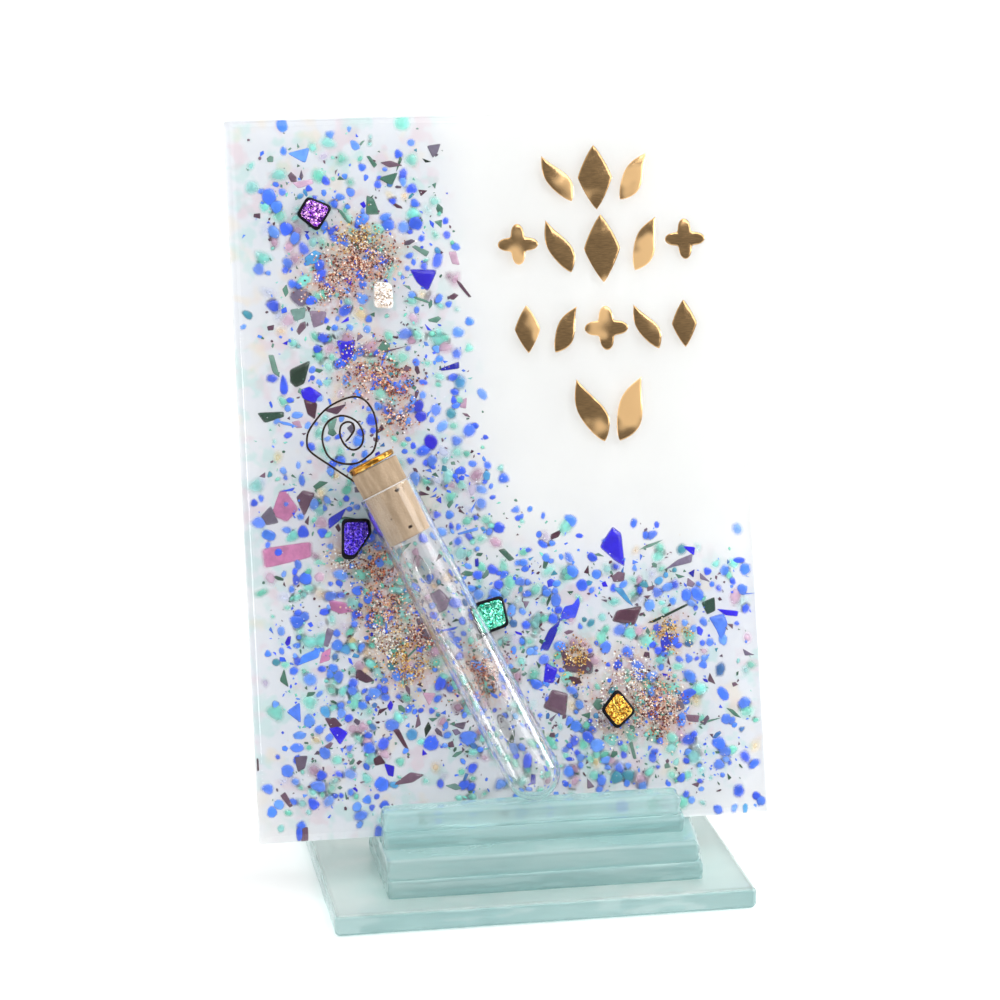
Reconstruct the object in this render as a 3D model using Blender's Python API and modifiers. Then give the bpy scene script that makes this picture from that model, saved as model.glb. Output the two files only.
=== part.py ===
"""Keepsake plaque: a fused-glass panel with a corked test tube, leaning in a stepped glass stand.

Frame: metres, +Z up. The panel faces -Y. The origin is the centre of the base plate's underside.
"""

import math

import bmesh
import bpy
from mathutils import Matrix, Vector

MM = 0.001
COLLECTION_NAME = "corked_tube_plaque"
SEAM = 0.3 * MM  # bond line left between pieces that are fused or glued together
WELD_DISTANCE = 0.01 * MM

# Stand: one plate, a two-layer riser, and two-layer strips in front of and behind the panel
PLATE_WIDTH = 122 * MM
PLATE_DEPTH = 90 * MM
PLATE_THICKNESS = 6.5 * MM
PLATE_EDGE_RADIUS = 1.8 * MM
RISER_HEIGHT = 11.5 * MM
STRIP_HEIGHT = 11.1 * MM
STRIP_EDGE_RADIUS = 1.1 * MM
STRIP_DEPTH = 7.7 * MM
TREAD_DEPTH = 9.05 * MM  # ledge of the riser left in front of the strips, and behind them
RISER_LEFT = -44.5 * MM
STRIP_LEFT = -44.2 * MM
STRIP_RIGHT = 43.6 * MM

# Panel: a white opal sheet, coloured glass frit and a clear sheet, fused at the edges
PANEL_WIDTH = 150 * MM
PANEL_HEIGHT = 209 * MM
PANEL_THICKNESS = 6 * MM
PANEL_LEAN = math.radians(17)
PANEL_CENTRE_X = -4 * MM
PANEL_FOOT_Y = -18.9 * MM  # foot of the panel's front face
PANEL_EDGE_RADIUS = 2.4 * MM
FRIT_THICKNESS = 0.3 * MM
FRIT_MARGIN = 1.5 * MM

# Test tube, lying aslant on the panel
TUBE_RADIUS = 8 * MM
TUBE_LENGTH = 100 * MM
TUBE_WALL = 1 * MM
TUBE_STAVES = 8
TUBE_SLANT = math.radians(24.7)
TUBE_TIP_X = 6.8 * MM
TUBE_TIP_HEIGHT = 9.1 * MM
TUBE_STANDOFF = 1.1 * MM  # clear space between the tube and the panel's face
BEAD_THICKNESS = 0.5 * MM
BEAD_LENGTH = 9 * MM
BEAD_WIDTH = 3.4 * MM

# Stopper
CORK_BOTTOM = 84.3 * MM  # distances along the tube, from its round tip
CORK_TOP = 107.3 * MM
CORK_BOTTOM_RADIUS = 5.75 * MM
CORK_TOP_RADIUS = 7.15 * MM
CORK_CHAMFER = 0.45 * MM
CAP_RADIUS = 7.05 * MM
CAP_THICKNESS = 1.7 * MM
CAP_EDGE_RADIUS = 0.6 * MM
WIRE_RADIUS = 0.3 * MM
WIRE_BORE_RADIUS = 0.6 * MM
WIRE_STEP = 1.7 * MM
WIRE_ROOT = (-5.5, 103.3)  # inner end of the wire, in its bore in the cork

# Bends of the hand-wound wire, in mm: across the tube and along it. Outside inwards.
WIRE_BENDS = [
    (-7.1, 106.1),
    (-11.0, 113.1),
    (-14.2, 119.3),
    (-13.6, 122.6),
    (-11.1, 125.2),
    (-5.1, 127.9),
    (0.5, 128.3),
    (4.8, 127.2),
    (6.8, 124.5),
    (7.1, 120.4),
    (5.6, 115.8),
    (2.7, 111.7),
    (-0.2, 110.5),
    (-4.1, 110.3),
    (-7.9, 112.3),
    (-10.2, 115.7),
    (-9.7, 120.4),
    (-7.3, 123.7),
    (-4.3, 124.8),
    (-0.9, 124.0),
    (1.6, 120.9),
    (1.8, 117.3),
    (0.1, 114.5),
    (-2.1, 113.8),
    (-3.8, 114.8),
    (-4.6, 116.9),
    (-4.4, 119.7),
    (-2.9, 121.8),
    (-0.9, 122.0),
    (0.3, 120.9),
    (0.0, 119.2),
    (-1.4, 118.2),
    (-2.9, 117.5),
]

# Tiles of dichroic glass, in mm on the panel's face: across from its centre and up from its foot
TILE_THICKNESS = 1.4 * MM
TILE_CORNER_RADIUS = 1.1 * MM
TILE_EDGE_RADIUS = 0.4 * MM
TILES = {
    "tile_purple": [(-52.2, 186.1), (-44.7, 182.8), (-49.7, 175.3), (-55.8, 180.6)],
    "tile_silver": [(-34.1, 160.5), (-28.9, 160.0), (-28.6, 152.4), (-34.5, 152.8)],
    "tile_indigo": [(-47.0, 92.2), (-38.6, 92.0), (-38.4, 87.6), (-44.0, 80.1), (-47.6, 80.6)],
    "tile_green": [(-10.0, 65.8), (-1.1, 67.9), (0.5, 58.8), (-7.4, 56.4)],
    "tile_amber": [(31.3, 39.2), (36.8, 31.9), (30.6, 26.6), (26.0, 32.9)],
}

# Gilded ornaments: rows of (across, up, height, kind, tilt in degrees), in mm on the panel's face
FOIL_THICKNESS = 0.25 * MM
ORNAMENT_ROWS = {
    "row_1": [
        (21.5, 189.0, 16.0, "leaf", 32),
        (33.0, 189.0, 19.0, "lozenge", 0),
        (44.5, 189.0, 16.0, "leaf", -32),
    ],
    "row_2": [
        (9.0, 170.0, 12.0, "rosette", 0),
        (21.0, 169.0, 17.0, "leaf", 24),
        (34.0, 168.0, 20.0, "lozenge", 0),
        (47.0, 169.0, 17.0, "leaf", -24),
        (59.0, 170.0, 12.0, "rosette", 0),
    ],
    "row_3": [
        (10.5, 145.0, 14.0, "lozenge", 0),
        (22.0, 144.5, 15.0, "leaf", -28),
        (34.0, 144.5, 13.0, "rosette", 0),
        (46.0, 144.5, 15.0, "leaf", 28),
        (57.5, 145.0, 14.0, "lozenge", 0),
    ],
    "row_4": [
        (28.0, 120.5, 20.0, "leaf", 22),
        (40.0, 120.5, 20.0, "leaf", -22),
    ],
}
ORNAMENT_POINTS = 24

# Heights that follow from the sizes above
RISER_TOP = PLATE_THICKNESS + RISER_HEIGHT
STRIP_TOP = RISER_TOP + STRIP_HEIGHT
SHEET_THICKNESS = (PANEL_THICKNESS - FRIT_THICKNESS) / 2 - SEAM
# The round lower edge rests on the riser, and the face's sharp foot line would lie this much higher
PANEL_FOOT_LIFT = PANEL_EDGE_RADIUS + (
    (PANEL_THICKNESS - PANEL_EDGE_RADIUS) * math.sin(PANEL_LEAN)
    - PANEL_EDGE_RADIUS * math.cos(PANEL_LEAN)
)
PANEL_FOOT_Z = RISER_TOP + SEAM + PANEL_FOOT_LIFT


def clear_scene():
    for obj in list(bpy.data.objects):
        bpy.data.objects.remove(obj, do_unlink=True)


def new_collection(name):
    collection = bpy.data.collections.new(name)
    bpy.context.scene.collection.children.link(collection)
    return collection


def new_material(name, colour, roughness, metallic=0.0, transmission=0.0):
    material = bpy.data.materials.new(name)
    material.use_nodes = True
    shader = material.node_tree.nodes["Principled BSDF"]
    shader.inputs["Base Color"].default_value = (*colour, 1.0)
    shader.inputs["Roughness"].default_value = roughness
    shader.inputs["Metallic"].default_value = metallic
    shader.inputs["Transmission Weight"].default_value = transmission
    material.diffuse_color = (*colour, 1.0)
    return material


def add_piece(name, data, material, parent=None, location=(0, 0, 0), rotation=(0, 0, 0)):
    """Puts mesh or curve data into the part's collection as one named piece."""
    piece = bpy.data.objects.new(name, data)
    PARTS.objects.link(piece)
    data.materials.append(material)
    piece.parent = parent
    piece.location = location
    piece.rotation_euler = rotation
    return piece


def add_empty(name, location, rotation, parent=None):
    empty = bpy.data.objects.new(name, None)
    PARTS.objects.link(empty)
    empty.parent = parent
    empty.location = location
    empty.rotation_euler = rotation
    return empty


def shade_round(mesh, angle_degrees=35):
    mesh.shade_smooth()
    mesh.set_sharp_from_angle(angle=math.radians(angle_degrees))


def add_bevel(piece, width, segments):
    bevel = piece.modifiers.new("Bevel", "BEVEL")
    bevel.width = width
    bevel.segments = segments
    bevel.limit_method = "ANGLE"
    bevel.angle_limit = math.radians(40)


def add_weld(piece):
    weld = piece.modifiers.new("Weld", "WELD")
    weld.merge_threshold = WELD_DISTANCE


def box_bmesh(low, high):
    """A box between two corners, as a bmesh."""
    size = [b - a for a, b in zip(low, high)]
    centre = Vector([(a + b) / 2 for a, b in zip(low, high)])
    bm = bmesh.new()
    bmesh.ops.create_cube(bm, size=1.0, matrix=Matrix.Translation(centre) @ Matrix.Diagonal((*size, 1)))
    return bm


def mesh_from(bm, name):
    mesh = bpy.data.meshes.new(name)
    bm.to_mesh(mesh)
    bm.free()
    return mesh


def glass_strip(name, left, right_front, right_back, y_range, z_range, edge_radius):
    """A cut strip of float glass. Its right end may run askew from front to back."""
    bm = box_bmesh((left, y_range[0], z_range[0]), (right_front, y_range[1], z_range[1]))
    middle = (y_range[0] + y_range[1]) / 2
    for vert in bm.verts:
        if vert.co.x > (left + right_front) / 2 and vert.co.y > middle:
            vert.co.x = right_back
    mesh = mesh_from(bm, name)
    strip = add_piece(name, mesh, STAND_GLASS)
    add_bevel(strip, edge_radius, 3)
    shade_round(mesh)
    return strip


def build_stand():
    """The plate, the riser's two layers, and the two-layer strips on either side of the slot."""
    half_width = PLATE_WIDTH / 2
    half_depth = PLATE_DEPTH / 2
    glass_strip(
        "base_plate",
        -half_width,
        half_width,
        half_width,
        (-half_depth, half_depth),
        (0, PLATE_THICKNESS),
        PLATE_EDGE_RADIUS,
    )

    # The panel's face needs the front strips' back at its foot, and its back needs the rear strips
    # where it leaves the slot.
    front_back_y = PANEL_FOOT_Y + SEAM
    upper_front_back_y = PANEL_FOOT_Y + 1.1 * MM
    front_y = front_back_y - STRIP_DEPTH
    panel_back_foot_y = PANEL_FOOT_Y + PANEL_THICKNESS * math.cos(PANEL_LEAN)
    panel_back_foot_z = PANEL_FOOT_Z - PANEL_THICKNESS * math.sin(PANEL_LEAN)
    lean_in_slot = (STRIP_TOP - panel_back_foot_z) * math.tan(PANEL_LEAN)
    rear_y = panel_back_foot_y + lean_in_slot + SEAM
    rear_back_y = rear_y + STRIP_DEPTH

    riser_y = (front_y - TREAD_DEPTH, rear_back_y + TREAD_DEPTH)
    riser_layer = RISER_HEIGHT / 2
    strip_layer = STRIP_HEIGHT / 2
    riser_ends = {"riser_lower_glass": (47.2 * MM, 52.8 * MM), "riser_upper_glass": (46.2 * MM, 50.6 * MM)}
    for layer, (name, (right_front, right_back)) in enumerate(riser_ends.items()):
        bottom = PLATE_THICKNESS + layer * riser_layer
        left = RISER_LEFT - layer * SEAM
        z_range = (bottom + SEAM, bottom + riser_layer)
        glass_strip(name, left, right_front, right_back, riser_y, z_range, STRIP_EDGE_RADIUS)

    strip_rows = {
        "front_strip_lower": (0, (front_y, front_back_y)),
        "front_strip_upper": (1, (front_y, upper_front_back_y)),
        "rear_strip_lower": (0, (rear_y, rear_back_y)),
        "rear_strip_upper": (1, (rear_y, rear_back_y)),
    }
    for name, (layer, y_range) in strip_rows.items():
        bottom = RISER_TOP + layer * strip_layer
        right = STRIP_RIGHT - layer * MM
        z_range = (bottom + SEAM, bottom + strip_layer)
        glass_strip(name, STRIP_LEFT, right, right, y_range, z_range, STRIP_EDGE_RADIUS)


def round_sheet(name, depth_range, rounded_side, material, parent):
    """One sheet of the panel, with one face's rim melted round."""
    half = PANEL_WIDTH / 2
    bm = box_bmesh((-half, depth_range[0], 0), (half, depth_range[1], PANEL_HEIGHT))
    rim_y = depth_range[rounded_side]
    rim = [edge for edge in bm.edges if all(abs(vert.co.y - rim_y) < WELD_DISTANCE for vert in edge.verts)]
    bmesh.ops.bevel(bm, geom=rim, offset=PANEL_EDGE_RADIUS, segments=4, profile=0.5, affect="EDGES")
    mesh = mesh_from(bm, name)
    shade_round(mesh)
    return add_piece(name, mesh, material, parent)


def outline_piece(name, points, thickness, back, material, parent):
    """A flat piece with the given outline, in metres on the panel's face, standing proud of it."""
    curve = bpy.data.curves.new(name, "CURVE")
    curve.dimensions = "2D"
    curve.fill_mode = "BOTH"
    curve.extrude = thickness / 2
    spline = curve.splines.new("POLY")
    spline.points.add(len(points) - 1)
    for point, (across, up) in zip(spline.points, points):
        point.co = (across, up, 0, 1)
    spline.use_cyclic_u = True
    upright = (math.pi / 2, 0, 0)
    piece = add_piece(name, curve, material, parent, (0, back - thickness / 2, 0), upright)
    add_weld(piece)
    return piece


def rounded_outline(corners, radius, steps=3):
    """The outline through the given corners, each rounded by an arc."""
    points = []
    count = len(corners)
    for index in range(count):
        corner = Vector(corners[index])
        to_last = (Vector(corners[index - 1]) - corner).normalized()
        to_next = (Vector(corners[(index + 1) % count]) - corner).normalized()
        half_angle = to_last.angle(to_next) / 2
        centre = corner + (to_last + to_next).normalized() * radius / math.sin(half_angle)
        start = corner + to_last * radius / math.tan(half_angle) - centre
        end = corner + to_next * radius / math.tan(half_angle) - centre
        turn = start.angle_signed(end)
        for step in range(steps + 1):
            points.append(tuple(centre + Matrix.Rotation(-turn * step / steps, 2) @ start))
    return points


def frit_outline():
    """An L: a broad column down the left, bending into a band across the lower part."""
    left = -PANEL_WIDTH / 2 + FRIT_MARGIN
    right = PANEL_WIDTH / 2 - FRIT_MARGIN
    top = PANEL_HEIGHT - FRIT_MARGIN
    bend_start = Vector((-4.5, 125)) * MM
    bend_end = Vector((23, 88.5)) * MM
    points = [(left, FRIT_MARGIN), (left, top), (-14.5 * MM, top)]
    bend_steps = 8
    for step in range(bend_steps + 1):
        angle = math.pi / 2 * step / bend_steps
        across = bend_end.x - (bend_end.x - bend_start.x) * math.cos(angle)
        up = bend_start.y - (bend_start.y - bend_end.y) * math.sin(angle)
        points.append((across, up))
    points += [(right, 83 * MM), (right, FRIT_MARGIN)]
    return points


def leaf_outline(height):
    """A pointed leaf, fullest below its middle, with a gentle S bend."""
    side = ORNAMENT_POINTS // 2
    points = []
    for step in range(ORNAMENT_POINTS):
        rising = step < side
        along = step / side if rising else 2 - step / side
        half_width = 0.19 * height * math.sin(math.pi * along**0.8)
        bend = 0.03 * height * math.sin(2 * math.pi * along)
        across = bend + half_width if rising else bend - half_width
        points.append((across, height * (along - 0.5)))
    return points


def lozenge_outline(height):
    """A tall diamond with hollow sides."""
    hollow = 1.7
    points = []
    for step in range(ORNAMENT_POINTS):
        angle = 2 * math.pi * step / ORNAMENT_POINTS
        cosine = math.cos(angle)
        sine = math.sin(angle)
        across = 0.27 * height * math.copysign(abs(cosine) ** hollow, cosine)
        up = 0.5 * height * math.copysign(abs(sine) ** hollow, sine)
        points.append((across, up))
    return points


def rosette_outline(height):
    """Four round lobes."""
    points = []
    for step in range(ORNAMENT_POINTS):
        angle = 2 * math.pi * step / ORNAMENT_POINTS
        radius = height / 2 * (0.76 + 0.24 * math.cos(4 * angle))
        points.append((radius * math.cos(angle), radius * math.sin(angle)))
    return points


def build_ornaments(parent):
    """The rows of gold ornaments on the panel's upper right."""
    outlines = {"leaf": leaf_outline, "lozenge": lozenge_outline, "rosette": rosette_outline}
    for row, ornaments in ORNAMENT_ROWS.items():
        for number, (across, up, height, kind, tilt) in enumerate(ornaments, start=1):
            turn = Matrix.Rotation(math.radians(tilt), 2)
            place = Vector((across, up)) * MM
            points = [tuple(place + turn @ Vector(point)) for point in outlines[kind](height * MM)]
            name = f"gold_{row}_{kind}_{number}"
            outline_piece(name, points, FOIL_THICKNESS, -SEAM, GOLD, parent)


def build_tiles(parent):
    """Small squares of dichroic glass with softened edges."""
    for name, corners in TILES.items():
        corners = [(across * MM, up * MM) for across, up in corners]
        points = rounded_outline(corners, TILE_CORNER_RADIUS)
        tile = outline_piece(name, points, TILE_THICKNESS, -SEAM, TILE_GLASS[name], parent)
        add_bevel(tile, TILE_EDGE_RADIUS, 1)


def build_panel(parent):
    round_sheet("cover_glass", (0, SHEET_THICKNESS), 0, CLEAR_GLASS, parent)
    frit_back = SHEET_THICKNESS + SEAM + FRIT_THICKNESS
    outline_piece("frit_field", frit_outline(), FRIT_THICKNESS, frit_back, FRIT_GLASS, parent)
    backing_range = (PANEL_THICKNESS - SHEET_THICKNESS, PANEL_THICKNESS)
    round_sheet("backing_glass", backing_range, 1, OPAL_GLASS, parent)
    build_tiles(parent)
    build_ornaments(parent)


def turned_piece(name, profile, steps, material, parent):
    """A solid of revolution about its parent's Z, from (radius, height) points, top to bottom."""
    mesh = bpy.data.meshes.new(name)
    vertices = [(radius, 0, height) for radius, height in profile]
    edges = [(index, index + 1) for index in range(len(profile) - 1)]
    mesh.from_pydata(vertices, edges, [])
    piece = add_piece(name, mesh, material, parent)
    screw = piece.modifiers.new("Screw", "SCREW")
    screw.axis = "Z"
    screw.angle = math.tau
    screw.steps = steps
    screw.render_steps = steps
    screw.use_merge_vertices = True
    screw.merge_threshold = WELD_DISTANCE
    screw.use_smooth_shade = True
    return piece


def build_tip(parent):
    """The tube's round bottom, up to where its straight wall starts."""
    inner = TUBE_RADIUS - TUBE_WALL
    outer_dome = []
    inner_dome = []
    dome_steps = 6
    for step in range(dome_steps + 1):
        angle = math.pi / 2 * step / dome_steps
        outer_dome.append((TUBE_RADIUS * math.cos(angle), TUBE_RADIUS * (1 - math.sin(angle))))
        inner_dome.append((inner * math.cos(angle), TUBE_RADIUS - inner * math.sin(angle)))
    inner_tip = (0, inner_dome.pop()[1])
    outer_tip = (0, outer_dome.pop()[1])
    profile = [inner_tip] + inner_dome[::-1] + outer_dome + [outer_tip]
    turned_piece("tube_tip", profile, 4 * TUBE_STAVES, TUBE_GLASS, parent)


def stave_loop(first, inner, outer, height):
    """Outline of a stave's cross-section: along its outer face from the first angle, and back inside."""
    steps = 4
    loop = []
    for radius, order in ((outer, 1), (inner, -1)):
        seam_angle = math.asin(SEAM / 2 / radius)
        span = math.tau / TUBE_STAVES - 2 * seam_angle
        angles = [first + seam_angle + span * step / steps for step in range(steps + 1)]
        loop += [(radius * math.cos(angle), radius * math.sin(angle), height) for angle in angles[::order]]
    return loop


def lofted_mesh(name, loops):
    """A closed mesh through loops with the same number of points."""
    bm = bmesh.new()
    rings = [[bm.verts.new(point) for point in loop] for loop in loops]
    for lower, upper in zip(rings, rings[1:]):
        for index in range(len(lower)):
            bm.faces.new((lower[index - 1], lower[index], upper[index], upper[index - 1]))
    bm.faces.new(rings[0])
    bm.faces.new(rings[-1])
    bmesh.ops.recalc_face_normals(bm, faces=bm.faces)
    return mesh_from(bm, name)


def build_tube(parent):
    """The tube is one glass wall. It is cut lengthwise here, so that no piece wraps round its hollow."""
    build_tip(parent)
    inner = TUBE_RADIUS - TUBE_WALL
    lip = TUBE_WALL / 4
    for number in range(TUBE_STAVES):
        first = math.tau * number / TUBE_STAVES
        loops = [
            stave_loop(first, inner, TUBE_RADIUS, TUBE_RADIUS + SEAM),
            stave_loop(first, inner, TUBE_RADIUS, TUBE_LENGTH - 2 * lip),
            stave_loop(first, inner + lip, TUBE_RADIUS - lip, TUBE_LENGTH),
        ]
        name = f"tube_stave_{number + 1}"
        mesh = lofted_mesh(name, loops)
        shade_round(mesh)
        add_piece(name, mesh, TUBE_GLASS, parent)


def build_beads(panel):
    """Two flat beads of clear adhesive between the panel and the tube."""
    along_tube = Vector((-math.sin(TUBE_SLANT), math.cos(TUBE_SLANT)))
    across_tube = Vector((math.cos(TUBE_SLANT), math.sin(TUBE_SLANT)))
    tip = Vector((TUBE_TIP_X, TUBE_TIP_HEIGHT))
    for name, distance in {"bead_lower": 22 * MM, "bead_upper": 74 * MM}.items():
        centre = tip + along_tube * distance
        points = []
        steps = 16
        for step in range(steps):
            angle = math.tau * step / steps
            reach = along_tube * BEAD_LENGTH / 2 * math.sin(angle)
            side = across_tube * BEAD_WIDTH / 2 * math.cos(angle)
            points.append(tuple(centre + reach + side))
        outline_piece(name, points, BEAD_THICKNESS, -SEAM, ADHESIVE, panel)


def smooth_path(points, step_length):
    """Points about one step apart on a Catmull-Rom curve through the given points."""
    path = []
    padded = [points[0] * 2 - points[1]] + points + [points[-1] * 2 - points[-2]]
    for index in range(1, len(padded) - 2):
        before, start, end, after = padded[index - 1 : index + 3]
        count = max(1, round((end - start).length / step_length))
        for step in range(count):
            t = step / count
            path.append(
                0.5
                * (
                    2 * start
                    + (end - before) * t
                    + (2 * before - 5 * start + 4 * end - after) * t**2
                    + (3 * start - before - 3 * end + after) * t**3
                )
            )
    path.append(points[-1])
    return path


def build_wire(parent):
    """The spiral lies in the plane through the tube's axis that is parallel to the panel."""
    bends = [Vector((across, 0, along)) * MM for across, along in [WIRE_ROOT] + WIRE_BENDS]
    path = smooth_path(bends, WIRE_STEP)
    curve = bpy.data.curves.new("wire_spiral", "CURVE")
    curve.dimensions = "3D"
    curve.bevel_depth = WIRE_RADIUS
    curve.bevel_resolution = 1
    curve.use_fill_caps = True
    spline = curve.splines.new("POLY")
    spline.points.add(len(path) - 1)
    for point, place in zip(spline.points, path):
        point.co = (*place, 1)
    wire = add_piece("wire_spiral", curve, DARK_WIRE, parent)
    add_weld(wire)


def build_cork(parent):
    """A tapered cork, bored askew for the end of the wire."""
    profile = [
        (0, CORK_TOP),
        (CORK_TOP_RADIUS - CORK_CHAMFER, CORK_TOP),
        (CORK_TOP_RADIUS, CORK_TOP - CORK_CHAMFER),
        (CORK_BOTTOM_RADIUS, CORK_BOTTOM + CORK_CHAMFER),
        (CORK_BOTTOM_RADIUS - CORK_CHAMFER, CORK_BOTTOM),
        (0, CORK_BOTTOM),
    ]
    cork = turned_piece("cork_stopper", profile, 40, CORK, parent)

    root = Vector((WIRE_ROOT[0], 0, WIRE_ROOT[1])) * MM
    mouth = Vector((WIRE_BENDS[0][0], 0, WIRE_BENDS[0][1])) * MM
    outward = (mouth - root).normalized()
    inner_end = root - outward * SEAM
    outer_end = mouth + outward * 2 * MM
    bm = bmesh.new()
    bmesh.ops.create_cone(
        bm,
        cap_ends=True,
        segments=12,
        radius1=WIRE_BORE_RADIUS,
        radius2=WIRE_BORE_RADIUS,
        depth=(outer_end - inner_end).length,
    )
    bore = bpy.data.objects.new("wire_bore", mesh_from(bm, "wire_bore"))
    CUTTERS.objects.link(bore)
    bore.parent = parent
    bore.location = (inner_end + outer_end) / 2
    bore.rotation_euler = outward.to_track_quat("Z", "Y").to_euler()
    bore.hide_render = True
    bore.display_type = "WIRE"
    cut = cork.modifiers.new("Wire bore", "BOOLEAN")
    cut.operation = "DIFFERENCE"
    cut.object = bore
    cut.solver = "EXACT"


def build_cap(parent):
    """A gilded disc with a softened rim, glued to the cork's top."""
    bottom = CORK_TOP + SEAM
    top = bottom + CAP_THICKNESS
    profile = [(0, top + 0.15 * MM)]
    arc_steps = 3
    for step in range(arc_steps + 1):
        angle = math.pi / 2 * (1 - step / arc_steps)
        across = CAP_RADIUS - CAP_EDGE_RADIUS + CAP_EDGE_RADIUS * math.cos(angle)
        profile.append((across, top - CAP_EDGE_RADIUS * (1 - math.sin(angle))))
    profile += [(CAP_RADIUS, bottom + SEAM), (CAP_RADIUS - SEAM, bottom), (0, bottom)]
    turned_piece("gilt_cap", profile, 32, GOLD, parent)


clear_scene()
PARTS = new_collection(COLLECTION_NAME)
CUTTERS = new_collection("cutters")

STAND_GLASS = new_material("stand_glass", (0.55, 0.78, 0.75), 0.06, transmission=0.9)
CLEAR_GLASS = new_material("clear_glass", (0.95, 0.98, 0.98), 0.03, transmission=0.95)
OPAL_GLASS = new_material("opal_glass", (0.93, 0.93, 0.94), 0.12)
FRIT_GLASS = new_material("frit_glass", (0.33, 0.55, 0.80), 0.25)
TUBE_GLASS = new_material("tube_glass", (0.96, 0.98, 1.0), 0.02, transmission=1.0)
ADHESIVE = new_material("adhesive", (0.93, 0.93, 0.90), 0.2, transmission=0.8)
CORK = new_material("cork", (0.72, 0.58, 0.42), 0.8)
GOLD = new_material("gold", (0.80, 0.58, 0.22), 0.25, metallic=1.0)
DARK_WIRE = new_material("dark_wire", (0.06, 0.05, 0.05), 0.4, metallic=0.9)
TILE_GLASS = {
    "tile_purple": new_material("tile_purple", (0.38, 0.12, 0.55), 0.2, metallic=0.5),
    "tile_silver": new_material("tile_silver", (0.85, 0.83, 0.80), 0.2, metallic=0.5),
    "tile_indigo": new_material("tile_indigo", (0.08, 0.06, 0.55), 0.2, metallic=0.5),
    "tile_green": new_material("tile_green", (0.10, 0.65, 0.50), 0.2, metallic=0.5),
    "tile_amber": new_material("tile_amber", (0.85, 0.50, 0.10), 0.2, metallic=0.5),
}

build_stand()

panel_frame = add_empty(
    "panel_frame", (PANEL_CENTRE_X, PANEL_FOOT_Y, PANEL_FOOT_Z), (-PANEL_LEAN, 0, 0)
)
build_panel(panel_frame)
build_beads(panel_frame)

tube_place = (TUBE_TIP_X, -(TUBE_STANDOFF + TUBE_RADIUS), TUBE_TIP_HEIGHT)
tube_frame = add_empty("tube_frame", tube_place, (0, -TUBE_SLANT, 0), panel_frame)
build_tube(tube_frame)
build_cork(tube_frame)
build_cap(tube_frame)
build_wire(tube_frame)
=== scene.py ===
"""Looks of the corked test tube plaque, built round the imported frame. Metres, +Z up, the panel faces -Y."""

import math
import random

import bmesh
import bpy
import numpy as np
from mathutils import Matrix, Vector, noise


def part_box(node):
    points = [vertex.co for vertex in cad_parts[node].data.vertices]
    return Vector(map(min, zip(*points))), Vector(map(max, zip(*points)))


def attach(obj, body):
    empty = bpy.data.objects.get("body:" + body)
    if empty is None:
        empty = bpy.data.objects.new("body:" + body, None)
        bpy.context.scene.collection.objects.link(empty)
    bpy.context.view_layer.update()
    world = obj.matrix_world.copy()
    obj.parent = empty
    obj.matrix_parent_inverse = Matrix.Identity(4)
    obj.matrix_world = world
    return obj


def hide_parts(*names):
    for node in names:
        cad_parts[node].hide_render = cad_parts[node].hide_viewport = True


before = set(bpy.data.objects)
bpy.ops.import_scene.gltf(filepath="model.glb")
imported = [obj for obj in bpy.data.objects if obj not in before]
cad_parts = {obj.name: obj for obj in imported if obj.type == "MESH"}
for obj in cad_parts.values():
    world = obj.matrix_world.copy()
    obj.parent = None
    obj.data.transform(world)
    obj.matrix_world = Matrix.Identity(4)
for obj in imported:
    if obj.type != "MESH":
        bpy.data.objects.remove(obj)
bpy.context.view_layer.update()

MM = 0.001
SCENE = bpy.context.scene

# The panel's place, and the places of what lies on it, as in the CAD model
PANEL_WIDTH = 150.0
PANEL_HEIGHT = 209.0
PANEL_THICKNESS = 6.0
PANEL_CORNER = 0.7
FRONT_RADIUS = 2.9
BACK_RADIUS = 1.0
FOOT_RADIUS = 2.4
FOOT_BLEND = 8.0  # height above the foot where the rounder foot begins
PANEL_LEAN = math.radians(17)
PANEL_FOOT = Vector((-4.0, -18.9, 19.457)) * MM
FRIT_BED = 3.3  # depth in the panel of the white sheet's front, where the coloured glass lies
TUBE_RADIUS = 8.0
TUBE_LENGTH = 100.0
TUBE_WALL = 1.0
TUBE_SLANT = math.radians(24.7)
TUBE_TIP = (6.8, -9.1, 9.1)

PANEL = Matrix.Translation(PANEL_FOOT) @ Matrix.Rotation(-PANEL_LEAN, 4, "X")
TUBE = PANEL @ Matrix.Translation(Vector(TUBE_TIP) * MM) @ Matrix.Rotation(-TUBE_SLANT, 4, "Y")
HERE = Matrix.Identity(4)


# ---- helpers


def linear(red, green, blue):
    """Linear colour of an 8-bit display colour."""
    channels = [value / 255 for value in (red, green, blue)]
    return tuple(c / 12.92 if c <= 0.04045 else ((c + 0.055) / 1.055) ** 2.4 for c in channels)


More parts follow.
